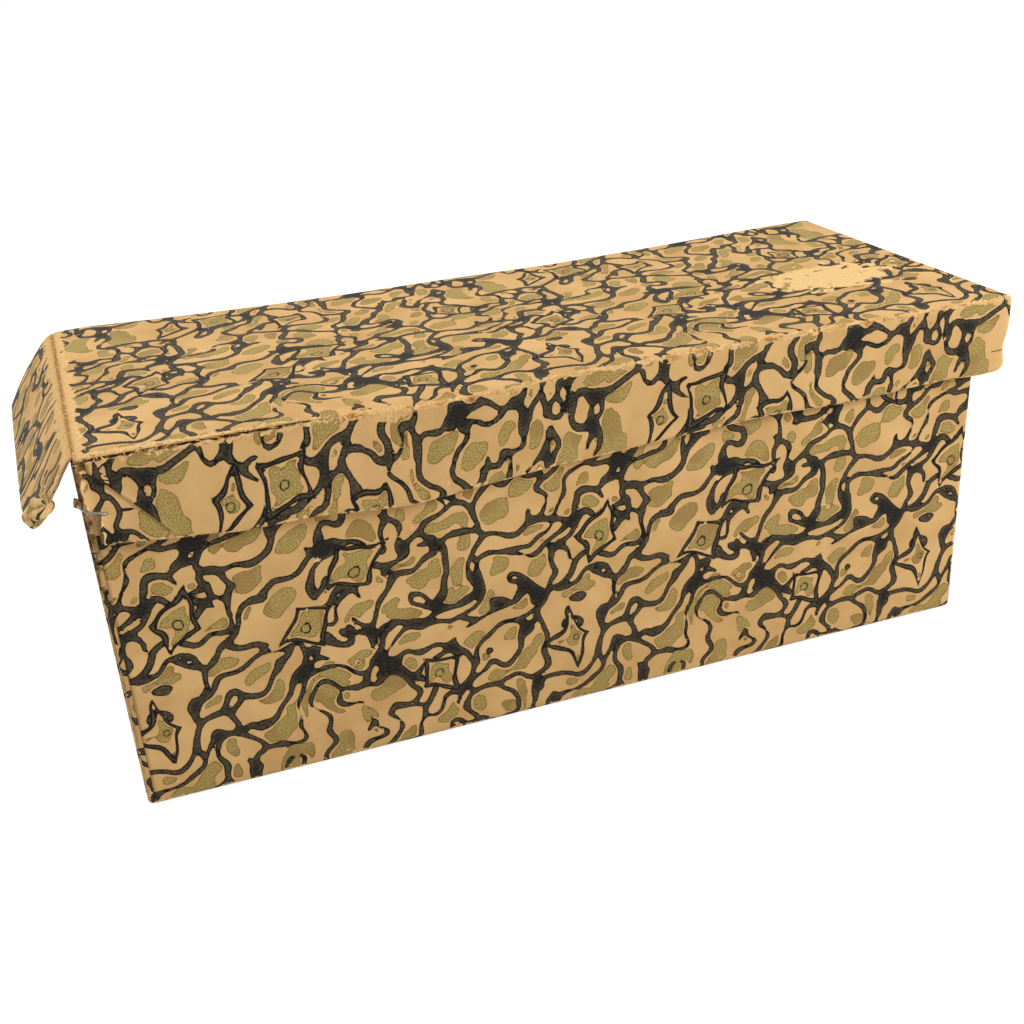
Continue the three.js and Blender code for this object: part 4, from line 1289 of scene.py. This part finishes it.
def fibre_tree(stuff):
    """Scatters curled slivers along the edges of a mesh line."""
    tree = bpy.data.node_groups.new("torn fibres", "GeometryNodeTree")
    for label, kind in (("Geometry", "Geometry"), ("Spacing", "Float"), ("Length", "Float"),
                        ("Low", "Vector"), ("High", "Vector"), ("Scatter", "Float"), ("Seed", "Int")):
        tree.interface.new_socket(label, in_out="INPUT", socket_type="NodeSocket" + kind)
    tree.interface.new_socket("Geometry", in_out="OUTPUT", socket_type="NodeSocketGeometry")
    g = Graph(tree)
    given = g.add("NodeGroupInput").outputs
    line = g.add("GeometryNodeMeshToCurve", {"Mesh": given["Geometry"]}).outputs["Curve"]
    spaced = g.add("GeometryNodeResampleCurve", {"Curve": line, "Length": given["Spacing"]},
                   mode="LENGTH").outputs["Curve"]
    points = g.add("GeometryNodeCurveToPoints", {"Curve": spaced}, mode="EVALUATED").outputs["Points"]

    def dice(low, high, seed_shift, kind="FLOAT_VECTOR"):
        """A random vector or number for each sliver."""
        low_at, high_at, out_at = (0, 1, 0) if kind == "FLOAT_VECTOR" else (2, 3, 1)
        seed = g.calc("ADD", given["Seed"], float(seed_shift))
        node = g.add("FunctionNodeRandomValue", data_type=kind)
        for socket, value in ((low_at, low), (high_at, high), ("Seed", seed)):
            g.link(value, node.inputs[socket])
        return node.outputs[out_at]

    off = g.scaled(dice((-1, -1, -1), (1, 1, 1), 3), given["Scatter"])
    moved = g.add("GeometryNodeSetPosition", {"Geometry": points, "Offset": off}).outputs[0]
    cone = g.add("GeometryNodeMeshCone", {"Vertices": 6, "Side Segments": 4, "Radius Top": 0.05,
                                          "Radius Bottom": 0.2, "Depth": 1.0}).outputs["Mesh"]
    flat = g.add("GeometryNodeTransform", {"Geometry": cone, "Scale": (1.0, 0.3, 1.0)}).outputs[0]
    height = g.add("ShaderNodeSeparateXYZ", {0: g.add("GeometryNodeInputPosition").outputs[0]}).outputs[2]
    curl = g.calc("MULTIPLY", g.calc("MULTIPLY", height, height), 0.45)
    bent = g.add("GeometryNodeSetPosition", {
        "Geometry": flat, "Offset": g.add("ShaderNodeCombineXYZ", {1: curl}).outputs[0]}).outputs[0]
    way = dice(given["Low"], given["High"], 5)
    aim = g.add("FunctionNodeAlignRotationToVector", {"Vector": way}, axis="Z")
    size = g.calc("MULTIPLY", dice(0.35, 1.5, 7, "FLOAT"), given["Length"])
    placed = g.add("GeometryNodeInstanceOnPoints", {"Points": moved, "Instance": bent,
                                                    "Rotation": aim.outputs[0], "Scale": size}).outputs[0]
    real = g.add("GeometryNodeRealizeInstances", {0: placed}).outputs[0]
    done = g.add("GeometryNodeSetMaterial", {"Geometry": real, "Material": stuff}).outputs[0]
    g.link(done, g.add("NodeGroupOutput").inputs[0])
    return tree


def fibre_stuff():
    stuff, g, shader = material("loose paper fibres")
    place = g.place_in_mm()
    torn = use(g, FIBRE, Place=place, Deep=g.fade(g.noise(place, 0.7, 1.0), 0.4, 0.7, 0.0, 0.7))
    rough = g.fade(g.noise(place, 2.0), 0.3, 0.7, 0.85, 0.97)
    dress(g, shader, torn["Color"], rough, torn["Height"], 0.0001)
    shader["Specular IOR Level"].default_value = 0.2
    return stuff


def fibre_piece(name, body, lines):
    """lines are (places in mm, spacing, length, lowest and highest direction, scatter, seed)."""
    stuff = fibre_stuff()
    tree = fibre_tree(stuff)
    ids = {item.name: item.identifier for item in tree.interface.items_tree if item.in_out == "INPUT"}
    joined = bmesh.new()
    for places, spacing, length, low, high, scatter, seed in lines:
        mesh = bpy.data.meshes.new("line")
        mesh.from_pydata((places * MM).tolist(), [(i, i + 1) for i in range(len(places) - 1)], [])
        carrier = place_object("line", mesh)
        grow = carrier.modifiers.new("fibres", "NODES")
        grow.node_group = tree
        chosen = {"Spacing": spacing * MM, "Length": length * MM, "Low": low, "High": high,
                  "Scatter": scatter * MM, "Seed": seed}
        for label, value in chosen.items():
            grow[ids[label]] = value
        bpy.context.view_layer.update()
        seen = bpy.context.evaluated_depsgraph_get()
        made = bpy.data.meshes.new_from_object(carrier.evaluated_get(seen))
        joined.from_mesh(made)
        bpy.data.objects.remove(carrier)
        bpy.data.meshes.remove(made)
    piece = piece_from(joined, name)
    piece.data.materials.clear()
    piece.data.materials.append(stuff)
    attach(piece, body)


def lid_line(x0, x1, z=83.75):
    """A line along the lid's front edge, from x0 to x1."""
    x = np.arange(x0, x1, 1.0)
    return bend_lid(np.stack([x, -47.05 + 0 * x, z + 0 * x], -1))


crease_line = np.array([(LID_LEFT + 0.3, y, LID_TOP - 0.35) for y in np.arange(-46.5, 46.5, 1.0)])
crease_line[:, 2] -= sag(crease_line[:, 0], crease_line[:, 1])
fibre_piece("lid_torn_fibres", "lid", [
    (lid_line(-103.5, -47.0), 0.55, 1.1, (-1, -1, -0.6), (1, -0.1, 0.5), 0.35, 3),
    (lid_line(-103.5, -60.0, z=82.7), 1.2, 1.0, (-1, -1, -0.2), (1, -0.1, 0.8), 0.3, 5),
    (lid_line(-47.0, 110.0), 1.3, 0.9, (-1, -1, -0.7), (1, -0.2, 0.6), 0.3, 8),
    (crease_line, 0.9, 0.8, (-0.8, -1, -0.3), (0.5, 1, 0.4), 0.25, 12),
])


# Camera, light and floor

FOCAL_LENGTH = 46.79
SENSOR = 36.0
CAMERA_PLACE = (-99.625, -301.5, 177.216)
CAMERA_RIGHT = (0.93541, -0.34955, -0.05316)
CAMERA_DOWN = (-0.20585, -0.41618, -0.88568)
CAMERA_AHEAD = (0.28746, 0.83941, -0.46125)
CAMERA_SHIFT = (-0.0211, 0.0631)


def place_camera():
    data = bpy.data.cameras.new("camera")
    data.lens = FOCAL_LENGTH
    data.sensor_width = SENSOR
    data.shift_x, data.shift_y = CAMERA_SHIFT
    data.clip_start = 0.01
    camera = place_object("camera", data)
    turn = Matrix((Vector(CAMERA_RIGHT), -Vector(CAMERA_DOWN), -Vector(CAMERA_AHEAD)))
    camera.matrix_world = Matrix.Translation(Vector(CAMERA_PLACE) * MM) @ turn.transposed().to_4x4()
    bpy.context.scene.camera = camera


def soft_lamp(name, place, aim, size, watts):
    data = bpy.data.lights.new(name, "AREA")
    data.shape = "DISK"
    data.size = size
    data.energy = watts
    lamp = place_object(name, data)
    lamp.location = place
    lamp.rotation_euler = (Vector(aim) - Vector(place)).to_track_quat("-Z", "Y").to_euler()


def white_world(strength):
    """Even light for the object, and plain white where the camera or a gloss looks past it."""
    world = bpy.data.worlds.new("white room")
    world.use_nodes = True
    bpy.context.scene.world = world
    g = Graph(world.node_tree)
    path = g.add("ShaderNodeLightPath").outputs
    seen = g.calc("MAXIMUM", path["Is Camera Ray"], path["Is Glossy Ray"])
    seen = g.calc("MAXIMUM", seen, path["Is Transmission Ray"])
    level = g.calc("MULTIPLY_ADD", seen, 1.0 - strength, strength)
    back = world.node_tree.nodes["Background"].inputs
    back["Color"].default_value = (1, 1, 1, 1)
    g.link(level, back["Strength"])


def white_floor():
    """A white floor that fades into the white behind it and keeps the object's shadow."""
    reach = 3.0
    mesh = bpy.data.meshes.new("floor")
    corners = [(-reach, -reach, 0), (reach, -reach, 0), (reach, reach, 0), (-reach, reach, 0)]
    mesh.from_pydata(corners, [], [(0, 1, 2, 3)])
    floor = place_object("floor", mesh)
    stuff, g, shader = material("white floor")
    shader["Base Color"].default_value = (0.86, 0.86, 0.86, 1)
    shader["Roughness"].default_value = 1.0
    shader["Specular IOR Level"].default_value = 0.0
    path = g.add("ShaderNodeLightPath").outputs
    seen = g.calc("MAXIMUM", path["Is Camera Ray"], path["Is Glossy Ray"])
    place = g.add("ShaderNodeTexCoord").outputs["Object"]
    away = g.add("ShaderNodeVectorMath", {0: place}, operation="LENGTH")
    share = g.fade(away.outputs["Value"], 0.2, 0.55, 0.66, 1.0)
    glow = g.add("ShaderNodeEmission", {"Color": (1, 1, 1, 1), "Strength": 1.3})
    blend = g.add("ShaderNodeMixShader", {0: g.calc("MULTIPLY", seen, share), 2: glow.outputs[0],
                                          1: stuff.node_tree.nodes["Principled BSDF"].outputs[0]})
    g.link(blend.outputs[0], stuff.node_tree.nodes["Material Output"].inputs["Surface"])
    mesh.materials.append(stuff)


bpy.context.scene.view_settings.view_transform = "Standard"
place_camera()
soft_lamp("key", place=(0.78, -0.5, 0.5), aim=(0.08, 0.0, 0.05), size=0.35, watts=9.0)
soft_lamp("top", place=(-0.5, 0.35, 1.0), aim=(0.0, 0.0, 0.05), size=0.9, watts=9.6)
white_world(strength=0.235)
white_floor()
